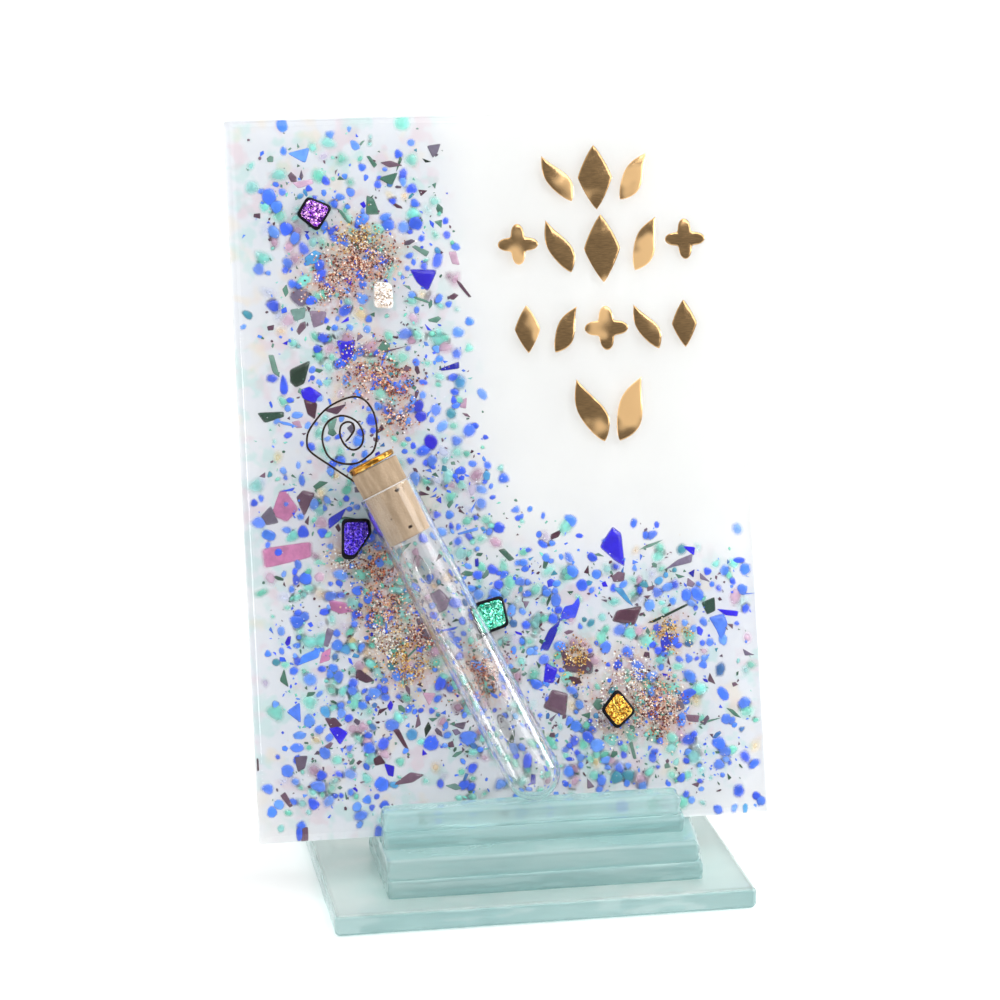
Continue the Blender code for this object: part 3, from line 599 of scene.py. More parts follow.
# Splinters worth placing one by one: across and up of each corner, in mm on the panel
LARGE_SHARDS = {
    "blue": [
        (-57, 199, -50.5, 200.5, -52, 196), (-13, 86.5, -7, 88, -7, 87, -12.5, 86),
        (-62, 50.5, -60, 53.5, -54.5, 55.5, -55.5, 52.5), (-65.5, 37.5, -61.5, 40, -61.5, 34),
        (60.5, 58, 65, 59, 66, 56, 64, 50.5, 62.5, 54.5),
    ],
    "cobalt": [
        (-23, 164, -15, 163.5, -18, 157.5, -21, 160), (-45.5, 144, -40, 144, -41, 139, -44, 137.5),
        (-57, 130, -54, 131, -50.5, 128.5, -53, 126, -56, 127.5), (-50.5, 92.5, -45, 95.5, -47, 92, -50.5, 89.5),
        (-16, 134.5, -10, 136.5, -10, 134.5, -15, 134), (-53.5, 32, -51, 32.5, -48, 30.5, -50.5, 27),
        (-38, 21, -35, 20, -35.5, 17, -37, 17.5), (33, 86, 35.5, 84, 36, 74.5, 33, 76.5, 29, 80.5),
        (53.5, 79.5, 57.5, 79, 57, 76.5), (15.5, 59.5, 17.5, 63.5, 20, 64, 22, 66.5, 22, 64, 20.5, 60),
        (9.5, 51.5, 12.5, 57, 16, 59.5, 14.5, 55.5, 12, 51), (63, 60.5, 69.5, 59.5, 69, 58, 65.5, 58.5),
        (11, 47.5, 14.5, 45.5, 13, 41.5, 10, 41.5), (45.5, 52, 47.5, 55, 49, 51, 46, 48.5),
        (55, 71.5, 57, 72.5, 56.5, 70),
    ],
    "green": [
        (-34.5, 186, -32.5, 185, -31, 180.5, -35, 180.5), (-31, 191, -25, 192.5, -27, 188.5),
        (-22, 170.5, -21, 171, -17, 169, -18, 167.5), (-34, 197.5, -33, 197.5, -31, 195, -32, 194),
        (-65.5, 140.5, -64, 140.5, -62.5, 134, -64.5, 135.5), (-54.5, 102, -52.5, 103.5, -50, 103, -53.5, 101),
        (-49.5, 121, -46.5, 121.5, -47.5, 118.5, -49, 118), (-67, 46.5, -65.5, 50, -64.5, 44.5),
        (51, 71.5, 54, 70.5, 52, 70), (34.5, 22.5, 35.5, 23, 36.5, 18, 35.5, 18),
    ],
    "sage": [
        (-58.5, 153.5, -54, 154, -54.5, 151, -57.5, 150), (-20.5, 13.5, -17.5, 14, -15.5, 12.5, -17.5, 12),
    ],
    "mauve": [
        (-53, 153, -48, 152.5, -49, 149, -52, 148), (-16, 200, -12, 200.5, -13, 198, -14.5, 196.5),
        (-70, 94, -67, 97, -65, 92, -68.5, 91.5), (-54, 56, -52.5, 61, -50.5, 60, -52.5, 55.5),
        (-22.5, 69, -19, 70.5, -16, 67.5, -17.5, 64.5, -20, 63.5),
        (47.5, 72.5, 52, 75.5, 56.5, 77, 56, 74.5, 50.5, 73.5), (58.5, 71.5, 61.5, 68.5, 58.5, 69.5),
    ],
    "pink": [
        (-56.5, 190.5, -50, 191.5, -49.5, 190, -54.5, 188.5), (-11.5, 169, -9, 169, -8, 164.5, -10.5, 165),
        (-60, 121, -57.5, 121.5, -56.5, 119, -58.5, 119), (-10, 125.5, -8, 126, -8.5, 122.5, -10.5, 123),
        (-26, 41, -21.5, 40.5, -24, 36.5),
    ],
    "plum": [
        (-30, 195.5, -27, 196, -23.5, 194.5, -27.5, 194), (-56, 127.5, -52, 126, -53, 121.5, -55, 123),
        (-59.5, 99, -57.5, 101, -54, 100, -57.5, 93.5), (-50.5, 124, -43.5, 125.5, -46.5, 122.5),
        (-44.5, 49.5, -39.5, 45, -42, 44.5, -45, 46), (-64, 24.5, -60, 24.5, -61, 21, -63, 20),
        (-54.5, 35, -51.5, 35, -49.5, 32.5, -53, 32), (-41.5, 22.5, -39, 23.5, -37.5, 21, -40.5, 20.5),
        (-36, 14.5, -30.5, 18, -26.5, 17, -30, 15), (-35.5, 31.5, -33, 30.5, -30.5, 24.5, -32, 25.5),
        (-68.5, 13.5, -67, 14.5, -65, 10.5, -66, 10), (-75, 24.5, -73.5, 24.5, -73.5, 21, -75, 21),
        (-62.5, 4, -61, 4, -61, 0.5, -63, 0.5), (-26.5, 62, -25, 62.5, -22, 54.5, -25, 57),
        (32, 71.5, 34, 73, 36, 72.5, 35.5, 70, 32.5, 70), (33, 61.5, 40.5, 62.5, 38, 57, 31.5, 58.5),
        (12.5, 39.5, 17, 38, 16, 31.5, 9.5, 34.5), (15.5, 51.5, 18.5, 48.5, 25.5, 49.5, 24.5, 43.5, 17, 44.5),
        (17, 43.5, 20.5, 42.5, 21.5, 41, 19, 40.5), (52, 30, 56, 29.5, 55.5, 27.5, 52.5, 28),
        (56, 27.5, 58.5, 29.5, 59, 28.5, 57.5, 26.5),
    ],
    "teal": [
        (-53.5, 168.5, -50.5, 170.5, -48.5, 169.5, -49.5, 167, -53.5, 166), (32, 68.5, 35, 68, 38, 62.5, 36, 64),
    ],
    "dark": [
        (-59.5, 136, -53.5, 138.5, -55.5, 132, -58, 131, -59.5, 132.5),
        (-69.5, 124, -62, 124, -62, 122.5, -67.5, 121), (42, 57.5, 54, 62.5, 54.5, 62, 44, 57.5),
        (58.5, 62.5, 62.5, 64, 62.5, 60, 60, 59),
    ],
    "rose": [
        (-64.5, 101.5, -62.5, 102, -58.5, 95.5, -62.5, 91.5, -67.5, 94),
        (-71, 85, -55, 86.5, -55, 81.5, -70.5, 78.5), (-52, 69.5, -46, 68, -43, 65.5, -48.5, 64.5, -51.5, 66),
        (-54.5, 54, -51.5, 55.5, -52, 51.5, -55.5, 50.5),
    ],
}


def field_depth(across, up):
    """How far a place lies inside the coloured field, in mm; negative outside."""
    nearest = 1e9
    for (x0, y0), (x1, y1) in zip(FRIT_EDGE, FRIT_EDGE[1:]):
        dx, dy = x1 - x0, y1 - y0
        t = min(max(((across - x0) * dx + (up - y0) * dy) / (dx * dx + dy * dy), 0), 1)
        nearest = min(nearest, math.hypot(across - x0 - t * dx, up - y0 - t * dy))
    tops = [y for _, y in FRIT_EDGE][::-1]
    rights = [x for x, _ in FRIT_EDGE][::-1]
    inside = across < np.interp(up, tops, rights) if up > 83 else True
    return nearest if inside else -nearest


def crowding(across, up):
    """Share of tries that place a chip here, from 0 to 1."""
    depth = field_depth(across, up)
    if depth < -1.5:
        return 0.0
    inner = min(1.0, 0.22 + (depth + 1.5) / 15)
    left = min(1.0, max(0.0, (across + 73) / 11))
    foot = min(1.0, 0.2 + max(0.0, (up - 2) / 14))
    right = 1.0 if across < 48 else max(0.5, 1 - (across - 48) / 45)
    top = 1.0 if up < 170 else 1 - 0.45 * (up - 170) / 39
    patch = (0.72 if up > 80 else 1.2 if across < -25 else 1.0) + 0.9 * noise.noise((across * 0.055, up * 0.055, 5.0))
    for x, y, reach in THIN_SPOTS:
        top *= min(1.0, 0.15 + (math.hypot(across - x, up - y) / reach) ** 2)
    return inner * left * foot * right * top * min(1.0, max(0.2, patch))


PALETTE = {
    "blue": [(68, 120, 248), (58, 102, 238), (78, 140, 252), (86, 132, 240), (58, 94, 238), (102, 156, 250)],
    "cobalt": [(46, 30, 212), (52, 62, 204), (60, 76, 228), (38, 40, 176)],
    "aqua": [(122, 214, 192), (134, 218, 202), (142, 210, 206), (106, 204, 180), (128, 222, 210)],
    "teal": [(66, 116, 178), (78, 156, 212), (64, 140, 160)],
    "green": [(76, 120, 102), (92, 138, 120), (64, 98, 82), (112, 148, 134)],
    "dark": [(30, 50, 38), (44, 72, 60)],
    "sage": [(128, 164, 156)],
    "plum": [(92, 62, 80), (104, 76, 94), (120, 92, 110), (84, 50, 66), (100, 86, 104)],
    "mauve": [(122, 110, 135), (112, 104, 122), (140, 120, 142)],
    "rose": [(200, 122, 170), (208, 130, 174)],
    "pink": [(204, 160, 186), (212, 174, 198), (180, 140, 165)],
    "pale": [(186, 194, 226), (200, 184, 214), (170, 214, 214)],
    "amber": [(226, 194, 150), (232, 204, 142)],
}
# How solid each kind looks, from clear at 0; the rest are nearly solid
SOLIDITY = {"aqua": (0.45, 0.9), "pale": (0.3, 0.5), "amber": (0.3, 0.55), "pink": (0.5, 0.8), "blue": (0.6, 1.0)}
HAZY = ("aqua", "pale", "pink", "amber", "rose")


# In mm on the panel
CHIP_EDGE = 74.0  # no chip's corner lies further across than this
SOWN_HALF = 73  # no chip is sown further across than this
CELL = 6  # side of the squares that sort the chips by place
TRIES = 14  # places tried for each chip


class Chips:
    """Collects many small closed chips into one mesh."""

    def __init__(self):
        self.points, self.faces, self.colours, self.depths = [], [], [], []

    def add(self, centre, outline, bed, rise, inner, colour, solidity=1.0):
        """A low dome over the outline, with its flat side on the bed. A less solid chip is paler."""
        count = len(outline)
        start = len(self.points)
        rims = ((1.0, 0.0, 0.0), (0.95, 0.15, 0.03), (inner, 0.86, 0.9), (inner * 0.5, 1.0, 1.0))
        for scale, lift, depth in rims:
            for x, y in outline:
                across = min(max(centre[0] + x * scale, -CHIP_EDGE), CHIP_EDGE)
                up = min(max(centre[1] + y * scale, 1.0), PANEL_HEIGHT - 1.0)
                self.points.append((across, bed - rise * lift, up))
                self.colours.append((*colour, 1.0))
                self.depths.append(depth * solidity)
        for ring in range(len(rims) - 1):
            a, b = start + ring * count, start + (ring + 1) * count
            for i in range(count):
                j = (i + 1) % count
                self.faces.append((a + i, b + i, b + j, a + j))
        self.faces.append(tuple(start + i for i in range(count)))
        top = start + (len(rims) - 1) * count
        self.faces.append(tuple(top + i for i in reversed(range(count))))

    def mesh(self, name, angle=60):
        mesh = bpy.data.meshes.new(name)
        mesh.from_pydata([tuple(c * MM for c in p) for p in self.points], [], self.faces)
        colour = mesh.attributes.new("chip_colour", "FLOAT_COLOR", "POINT")
        colour.data.foreach_set("color", np.array(self.colours, np.float32).ravel())
        depth = mesh.attributes.new("chip_depth", "FLOAT", "POINT")
        depth.data.foreach_set("value", np.array(self.depths, np.float32))
        return smooth(mesh, angle)


def blob_outline(rng, width, height, turn=0):
    """A melted grain: nearly an ellipse, turned by an angle in degrees."""
    count = 14
    lobes = rng.choice((2, 3, 3, 5))
    dent = rng.uniform(0.03, 0.14) if lobes < 5 else 0.05
    phase = rng.uniform(0, math.tau)
    points = []
    spin = Matrix.Rotation(math.radians(turn), 2)
    for i in range(count):
        angle = math.tau * i / count
        radius = (1 + dent * math.cos(lobes * angle + phase) + rng.uniform(-0.05, 0.05)) / 2
        points.append(spin @ Vector((width * radius * math.cos(angle), height * radius * math.sin(angle))))
    return points


def shard_outline(rng, size, stretch):
    """A splinter with three to five corners, each slightly melted."""
    corners = rng.choice((3, 3, 4, 4, 5))
    first = rng.uniform(0, math.tau)
    angles = [first + math.tau * (i + rng.uniform(-0.24, 0.24)) / corners for i in range(corners)]
    turn = rng.uniform(0, math.pi)
    raw = []
    for angle in angles:
        radius = size / 2 * rng.uniform(0.8, 1.15)
        raw.append(Vector((radius * math.cos(angle) * stretch**0.5, radius * math.sin(angle) / stretch**0.5)))
    return soften([v @ Matrix.Rotation(turn, 2) for v in raw], 0.14)


def soften(corners, share):
    """The outline with each corner cut to three points."""
    points = []
    count = len(corners)
    for i, corner in enumerate(corners):
        last, following = Vector(corners[i - 1]), Vector(corners[(i + 1) % count])
        corner = Vector(corner)
        a, b = corner.lerp(last, share), corner.lerp(following, share)
        points += [tuple(a), tuple((a + b) / 4 + corner / 2), tuple(b)]
    return points


def scatter_chips():
    """Sows the coloured glass: large named pieces first, then grains from large to small."""
    soft, sharp = Chips(), Chips()
    rng = random.Random(2024)
    cells = {}

    def free(place, size, overlap):
        gx, gy = int(place[0] // CELL), int(place[1] // CELL)
        for ix in (gx - 1, gx, gx + 1):
            for iy in (gy - 1, gy, gy + 1):
                for x, y, other in cells.get((ix, iy), ()):
                    if math.hypot(place[0] - x, place[1] - y) < overlap * (size + other) / 2:
                        return False
        return True

    def occupy(place, size):
        cells.setdefault((int(place[0] // CELL), int(place[1] // CELL)), []).append((*place, size))

    def tone(kind):
        colour = linear(*rng.choice(PALETTE[kind]))
        shade = rng.uniform(0.85, 1.15)
        return tuple(min(c * shade, 1.0) for c in colour)

    for kind, blobs in LARGE_BLOBS.items():
        for across, up, width, height, *turn in blobs:
            outline = blob_outline(rng, width * 1.18, height * 1.18, *turn)
            soft.add((across, up), outline, FRIT_BED - 0.12, 0.25, 0.6, tone(kind))
            occupy((across, up), max(width, height) * 1.1)
    for kind, pieces in LARGE_SHARDS.items():
        for numbers in pieces:
            corners = list(zip(numbers[::2], numbers[1::2]))
            centre = (sum(x for x, _ in corners) / len(corners), sum(y for _, y in corners) / len(corners))
            outline = soften([((x - centre[0]) * 1.05, (y - centre[1]) * 1.05) for x, y in corners], 0.14)
            if kind in HAZY:
                soft.add(centre, outline, FRIT_BED + 0.02, 0.2, 0.74, tone(kind), 0.9)
            else:
                sharp.add(centre, outline, FRIT_BED - 0.16, 0.2, 0.86, tone(kind))
            reach = max(math.hypot(x - centre[0], y - centre[1]) for x, y in corners)
            for share in (-0.5, 0.5):
                occupy(tuple(c + share * (first - c) for c, first in zip(centre, corners[1])), reach)

    # Grains: kind and its share of the tries, smallest and largest size, overlap allowed, outline
    sowings = [
        (350, (3.8, 6.8), 0.42, {"aqua": 7.5, "pale": 1.5, "pink": 1.5, "amber": 0.9}, "blob"),
        (350, (3.2, 5.4), 0.5, {"blue": 11, "aqua": 2, "teal": 0.8}, "blob"),
        (95, (2.2, 4.2), 0.8, {"plum": 3.5, "green": 3.5, "cobalt": 2, "mauve": 2, "dark": 0.7}, "shard"),
        (480, (2.0, 3.4), 0.54, {"blue": 9, "aqua": 3, "teal": 1}, "blob"),
        (280, (1.3, 2.6), 0.66, {"green": 3, "plum": 3, "blue": 4, "teal": 1, "cobalt": 1.5}, "shard"),
        (26, (2.2, 3.6), 0.5, {"green": 3, "blue": 2, "plum": 1.5}, "sliver"),
        (1500, (0.45, 1.3), 0.6, {"blue": 4, "aqua": 2, "green": 3, "plum": 3}, "shard"),
    ]
    for level, (count, (small, big), overlap, kinds, form) in enumerate(sowings):
        names = list(kinds)
        for _ in range(count):
            size = rng.uniform(small, big) if form != "blob" else small + (big - small) * rng.random() ** 1.4
            for _ in range(TRIES):
                place = (rng.uniform(-SOWN_HALF, SOWN_HALF), rng.uniform(1.5, PANEL_HEIGHT - 2))
                if rng.random() > crowding(*place) ** (1.0 if form == "blob" else 1.7):
                    continue
                if free(place, size, overlap):
                    break
            else:
                continue
            drift = [1 + 1.5 * noise.noise((place[0] * 0.06, place[1] * 0.06, 9.0 + i)) for i in range(len(names))]
            kind = rng.choices(names, [kinds[k] * max(d, 0.15) for k, d in zip(names, drift)])[0]
            solidity = rng.uniform(*SOLIDITY.get(kind, (0.8, 1.0)))
            occupy(place, size * (0.6 if level == 0 else 1.0))
            bed = FRIT_BED + 0.03 - 0.035 * level - rng.uniform(0, 0.05)
            if form == "blob":
                inner = rng.uniform(0.12, 0.36) if kind in HAZY else rng.uniform(0.34, 0.62)
                stretch = rng.uniform(1.0, 1.5) ** 0.5
                outline = blob_outline(rng, size * stretch, size / stretch, rng.uniform(0, 180))
                soft.add(place, outline, bed, 0.1 + 0.05 * size, inner, tone(kind), solidity)
            else:
                stretch = rng.uniform(4.0, 9.0) if form == "sliver" else rng.uniform(1.0, 2.6)
                sharp.add(place, shard_outline(rng, size, stretch), bed, 0.16, 0.8, tone(kind), solidity)
    return soft, sharp


def scatter_mica():
    """Flat four-cornered flecks at all tilts, in ragged clumps, and a few white flecks everywhere that are painted
    sparkle highlights.
    """
    flecks = Chips()
    rng = random.Random(77)
    for index, (across, up, reach, tone) in enumerate(MICA_SPOTS):
        for _ in range(int((7 if tone == "white" else 9) * reach * reach)):
            x, y = rng.gauss(across, reach * 0.45), rng.gauss(up, reach * 0.45)
            if not (abs(x) < SOWN_HALF and 2 < y < PANEL_HEIGHT - 2) or field_depth(x, y) < 1:
                continue
            if noise.noise((x * 0.3, y * 0.3, 3.0 * index)) + 0.12 < rng.uniform(-0.25, 0.25):
                continue
            add_fleck(flecks, rng, (x, y), rng.uniform(0.34, 0.8), linear(*rng.choice(MICA_TONES[tone])))
    # Painted highlights: white and pale flecks stand in for sparkle on the chips
    painted_glints = [(250, 250, 250), (236, 240, 246), (230, 214, 196)]
    for _ in range(1300):
        x, y = rng.uniform(-72, 72), rng.uniform(3, 206)
        if rng.random() < crowding(x, y) * 0.8:
            add_fleck(flecks, rng, (x, y), rng.uniform(0.2, 0.42), linear(*rng.choice(painted_glints)))
    return flecks


def add_fleck(flecks, rng, place, size, colour):
    """One flat double pyramid."""
    start = len(flecks.points)
    depth = FRIT_BED - 0.5 - rng.uniform(0, 0.12)
    turn = rng.uniform(0, math.tau)
    lean = (rng.uniform(-0.35, 0.35), rng.uniform(-0.35, 0.35))
    for i in range(4):
        angle = turn + math.tau * (i + rng.uniform(-0.2, 0.2)) / 4
        x, y = size / 2 * math.cos(angle), size / 2 * math.sin(angle)
        flecks.points.append((place[0] + x, depth + x * lean[0] + y * lean[1], place[1] + y))
    for side in (-0.03, 0.03):
        flecks.points.append((place[0], depth + side, place[1]))
    flecks.colours += [(*colour, 1.0)] * 6
    flecks.depths += [1.0] * 6
    for i in range(4):
        j = (i + 1) % 4
        flecks.faces.append((start + i, start + j, start + 4))
        flecks.faces.append((start + j, start + i, start + 5))


def build_panel():
    back = sheet_mesh("white_back_sheet", PANEL_THICKNESS, FRIT_BED, BACK_RADIUS)
    add_piece("white_back_sheet", back, opal_glass(), "panel", PANEL, ["backing_glass"])
    front = sheet_mesh("clear_front_sheet", 0.0, FRIT_BED + 0.03, FRONT_RADIUS)
    add_piece("clear_front_sheet", front, clear_glass(), "panel", PANEL, ["cover_glass"])
    soft, sharp = scatter_chips()
    grains = frit_glass("frit_grains", 0.0)
    shards = frit_glass("frit_shards", 0.45, 0.1)
    add_piece("frit_grains", soft.mesh("frit_grains"), grains, "panel", PANEL, ["frit_field"])
    add_piece("frit_shards", sharp.mesh("frit_shards", 30), shards, "panel", PANEL, ["frit_field"])
    flecks = scatter_mica()
    add_piece("mica_flecks", flecks.mesh("mica_flecks", 5), mica(), "panel", PANEL, ["frit_field"])


# ---- tiles and ornaments on the face


def face_outline(node):
    """Outline of a flat convex CAD piece on the panel's face, in mm across and up."""
    back = PANEL.inverted()
    flat = [back @ vert.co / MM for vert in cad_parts[node].data.vertices]
    points = sorted({(round(p.x, 3), round(p.z, 3)) for p in flat})

    def chain(sequence):
        hull = []
        for p in sequence:
            while len(hull) > 1 and cross(hull[-2], hull[-1], p) <= 0:
                hull.pop()
            hull.append(p)
        return hull[:-1]

    return chain(points) + chain(points[::-1])


def cross(a, b, c):
    return (b[0] - a[0]) * (c[1] - a[1]) - (b[1] - a[1]) * (c[0] - a[0])


def resample(outline, count):
    """The closed outline as evenly spaced points."""
    closed = [Vector(p) for p in outline] + [Vector(outline[0])]
    lengths = [0.0]
    for a, b in zip(closed, closed[1:]):
        lengths.append(lengths[-1] + (b - a).length)
    points = []
    for i in range(count):
        at = lengths[-1] * i / count
        k = max(j for j in range(len(closed) - 1) if lengths[j] <= at)
        share = (at - lengths[k]) / max(lengths[k + 1] - lengths[k], 1e-9)
        points.append(closed[k].lerp(closed[k + 1], share))
    return points


def smooth_outline(points, rounds):
    for _ in range(rounds):
        count = len(points)
        points = [(points[i - 1] + points[i] * 2 + points[(i + 1) % count]) / 4 for i in range(count)]
    return points


def pillow(outline, layers, wobble=0.0, seed=0):
    """A low cushion over the outline: layers are (share of the outline, height off the face)."""
    middle = sum(outline, Vector((0, 0))) / len(outline)
    loops = []
    for share, height in layers:
        loop = []
        for point in outline:
            spread = middle + (point - middle) * share
            lift = height + wobble * share * noise.noise((spread.x * 1.1, spread.y * 1.1, seed + height))
            loop.append((spread.x, -lift, spread.y))
        loops.append(loop)
    return loft(loops)


TILE_LOOKS = {
    "tile_purple": [(0.0, (34, 0, 70)), (0.35, (84, 6, 150)), (0.7, (138, 30, 214)), (1.0, (255, 196, 250))],
    "tile_silver": [(0.0, (120, 86, 62)), (0.35, (236, 214, 190)), (0.7, (246, 238, 240)), (1.0, (255, 253, 246))],
    "tile_indigo": [(0.0, (10, 0, 70)), (0.35, (36, 2, 170)), (0.7, (62, 10, 228)), (1.0, (150, 120, 255))],
    "tile_green": [(0.0, (6, 84, 70)), (0.35, (20, 170, 134)), (0.7, (50, 220, 176)), (1.0, (170, 255, 226))],
    "tile_amber": [(0.0, (112, 52, 4)), (0.35, (196, 108, 12)), (0.7, (232, 166, 22)), (1.0, (255, 226, 110))],
}


# Shares of the outline, and heights off the face
TILE_BODY = [
    (0.93, 0.0), (0.985, 0.12), (1.0, 0.42), (0.985, 0.8), (0.94, 1.05), (0.88, 1.16), (0.7, 1.2), (0.4, 1.22),
]


def build_tiles():
    border = black_glass()
    pale = opal_chip()
    for number, (node, colours) in enumerate(TILE_LOOKS.items()):
        outline = smooth_outline(resample(face_outline(node), 72), 3)
        bordered = node != "tile_silver"
        mesh = mesh_of(f"{node}_body", pillow(outline, TILE_BODY, 0.05, number), 50)
        body = border if bordered else pale
        add_piece(f"{node}_body", mesh, body, "panel", PANEL, [node])
        share = 0.8 if bordered else 0.95
        film = [(share, 1.0), (share, 1.24), (share - 0.04, 1.34), (share - 0.16, 1.42)]
        film += [(share * 0.5, 1.46), (0.2, 1.46)]
        mesh = mesh_of(f"{node}_film", pillow(outline, film, 0.09, number + 5), 50)
        material = dichroic(f"{node}_film", colours, 2.2 if bordered else 2.7, 0.2 if bordered else 0.4)
        add_piece(f"{node}_film", mesh, material, "panel", PANEL, [node])


def opal_chip():
    """Pale iridescent glass under the silver tile's film."""
    g = Graph("opal_chip")
    where = g.place()
    colour = g.mix(g.noise(where, 0.7, 3), linear(226, 214, 196), linear(238, 242, 244))
    normal = g.bump(g.noise(where, 1.5, 2), 0.3, 0.15)
    return g.surface(g.gloss(Base_Color=colour, Roughness=0.12, Normal=normal, Coat_Weight=0.6, Coat_Roughness=0.03))


# Rows of (across, up, height, kind, tilt in degrees), in mm on the panel's face
ORNAMENT_ROWS = {
    "row_1": [(21.5, 189.0, 16.0, "leaf", 32), (33.0, 189.0, 19.0, "lozenge", 0), (44.5, 189.0, 16.0, "leaf", -32)],
    "row_2": [
        (9.0, 170.0, 12.0, "rosette", 0), (21.0, 169.0, 17.0, "leaf", 24), (34.0, 168.0, 20.0, "lozenge", 0),
        (47.0, 169.0, 17.0, "leaf", -24), (59.0, 170.0, 12.0, "rosette", 0),
    ],
    "row_3": [
        (10.5, 145.0, 14.0, "lozenge", 0), (22.0, 144.5, 15.0, "leaf", -28), (34.0, 144.5, 13.0, "rosette", 0),
        (46.0, 144.5, 15.0, "leaf", 28), (57.5, 145.0, 14.0, "lozenge", 0),
    ],
    "row_4": [(28.0, 120.5, 20.0, "leaf", 22), (40.0, 120.5, 20.0, "leaf", -22)],
}
ORNAMENT_POINTS = 96
ORNAMENT_DOME = [
    (0.985, 0.0), (1.0, 0.05), (0.985, 0.12), (0.93, 0.19), (0.8, 0.25), (0.6, 0.29), (0.35, 0.31), (0.1, 0.32),
]


def leaf_outline(height):
    """A pointed leaf, fullest below its middle, with a gentle S bend."""
    side = ORNAMENT_POINTS // 2
    points = []
    for step in range(ORNAMENT_POINTS):
        rising = step < side
        along = step / side if rising else 2 - step / side
        half_width = 0.19 * height * math.sin(math.pi * along**0.8)
        bend = 0.03 * height * math.sin(2 * math.pi * along)
        points.append((bend + half_width if rising else bend - half_width, height * (along - 0.5)))
    return points


def lozenge_outline(height):
    """A tall diamond with hollow sides."""
    points = []
    for step in range(ORNAMENT_POINTS):
        angle = math.tau * step / ORNAMENT_POINTS
        c, s = math.cos(angle), math.sin(angle)
        x, y = math.copysign(abs(c) ** 1.7, c), math.copysign(abs(s) ** 1.7, s)
        points.append((0.27 * height * x, 0.5 * height * y))
    return points


def rosette_outline(height):
    """Four round lobes."""
    points = []
    for step in range(ORNAMENT_POINTS):
        angle = math.tau * step / ORNAMENT_POINTS
        radius = height / 2 * (0.76 + 0.24 * math.cos(4 * angle))
        points.append((radius * math.cos(angle), radius * math.sin(angle)))
    return points


def build_ornaments():
    outlines = {"leaf": leaf_outline, "lozenge": lozenge_outline, "rosette": rosette_outline}
    # The pale colour is the gold's painted highlight
    metal = gold("fired_gold", (180, 146, 104), (244, 200, 142), 0.055)
    for row, ornaments in ORNAMENT_ROWS.items():
        for number, (across, up, height, kind, tilt) in enumerate(ornaments, start=1):
            turn = Matrix.Rotation(math.radians(tilt), 2)
            outline = [Vector((across, up)) + turn @ Vector(point) for point in outlines[kind](height)]
            name = f"gold_{row}_{kind}_{number}"
            film = mesh_of(name, pillow(outline, ORNAMENT_DOME, 0.03, number), 60)
            piece = add_piece(f"{name}_film", film, metal, "panel", PANEL, [name])
            piece.visible_shadow = False


# ---- tube, adhesive and stopper


def build_tube():
    """One round-bottomed wall with a fire-polished lip."""
    outer, inner, lip = TUBE_RADIUS, TUBE_RADIUS - TUBE_WALL, TUBE_WALL / 2
    turns = np.linspace(0, math.pi / 2, 15)
    dome_out = [(outer * math.sin(a), outer * (1 - math.cos(a))) for a in turns]
    dome_in = [(inner * math.sin(a), outer - inner * math.cos(a)) for a in turns]
    rows = np.linspace(outer + 4, TUBE_LENGTH - 3, 16)
    rim = arc((outer - lip, TUBE_LENGTH - lip), lip + 0.02, 0, 180, 8)
    below_lip = TUBE_LENGTH - 1.4
    profile = dome_out + [(outer, z) for z in rows] + [(outer, below_lip)] + rim
    profile += [(inner, below_lip)] + [(inner, z) for z in rows[::-1]] + dome_in[::-1]
    mesh = mesh_of("glass_tube", lathe(profile, 128), 50)
    tube_nodes = [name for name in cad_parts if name.startswith("tube_")]
    add_piece("glass_tube", mesh, tube_glass(), "panel", TUBE, tube_nodes)


def build_beads():
    """Drops of adhesive, squeezed flat by the panel and hollowed by the tube."""
    half_width, half_length, half_gap = 1.9, 4.6, 0.54
    material = adhesive()
    for name, along in (("bead_lower", 22.0), ("bead_upper", 74.0)):
        bm = bmesh.new()
        bmesh.ops.create_uvsphere(bm, u_segments=40, v_segments=20, radius=1.0)
        for vert in bm.verts:
            x, y, z = vert.co
            swell = 1 + 0.08 * noise.noise((x * 2, y * 2, z * 2 + along))
            rest = TUBE_RADIUS - math.sqrt(TUBE_RADIUS**2 - (half_width * x) ** 2)
            y = TUBE_RADIUS + 0.56 + max(min(y * 0.85, half_gap), -half_gap - rest)
            vert.co = Vector((half_width * x * swell, y, along + half_length * z * swell)) * MM
        add_piece(f"{name}_drop", mesh_of(name, bm, 60), material, "panel", TUBE, [name])


CORK = {"bottom": 84.3, "top": 107.3, "bottom_radius": 6.4, "top_radius": 7.15, "chamfer": 0.45}


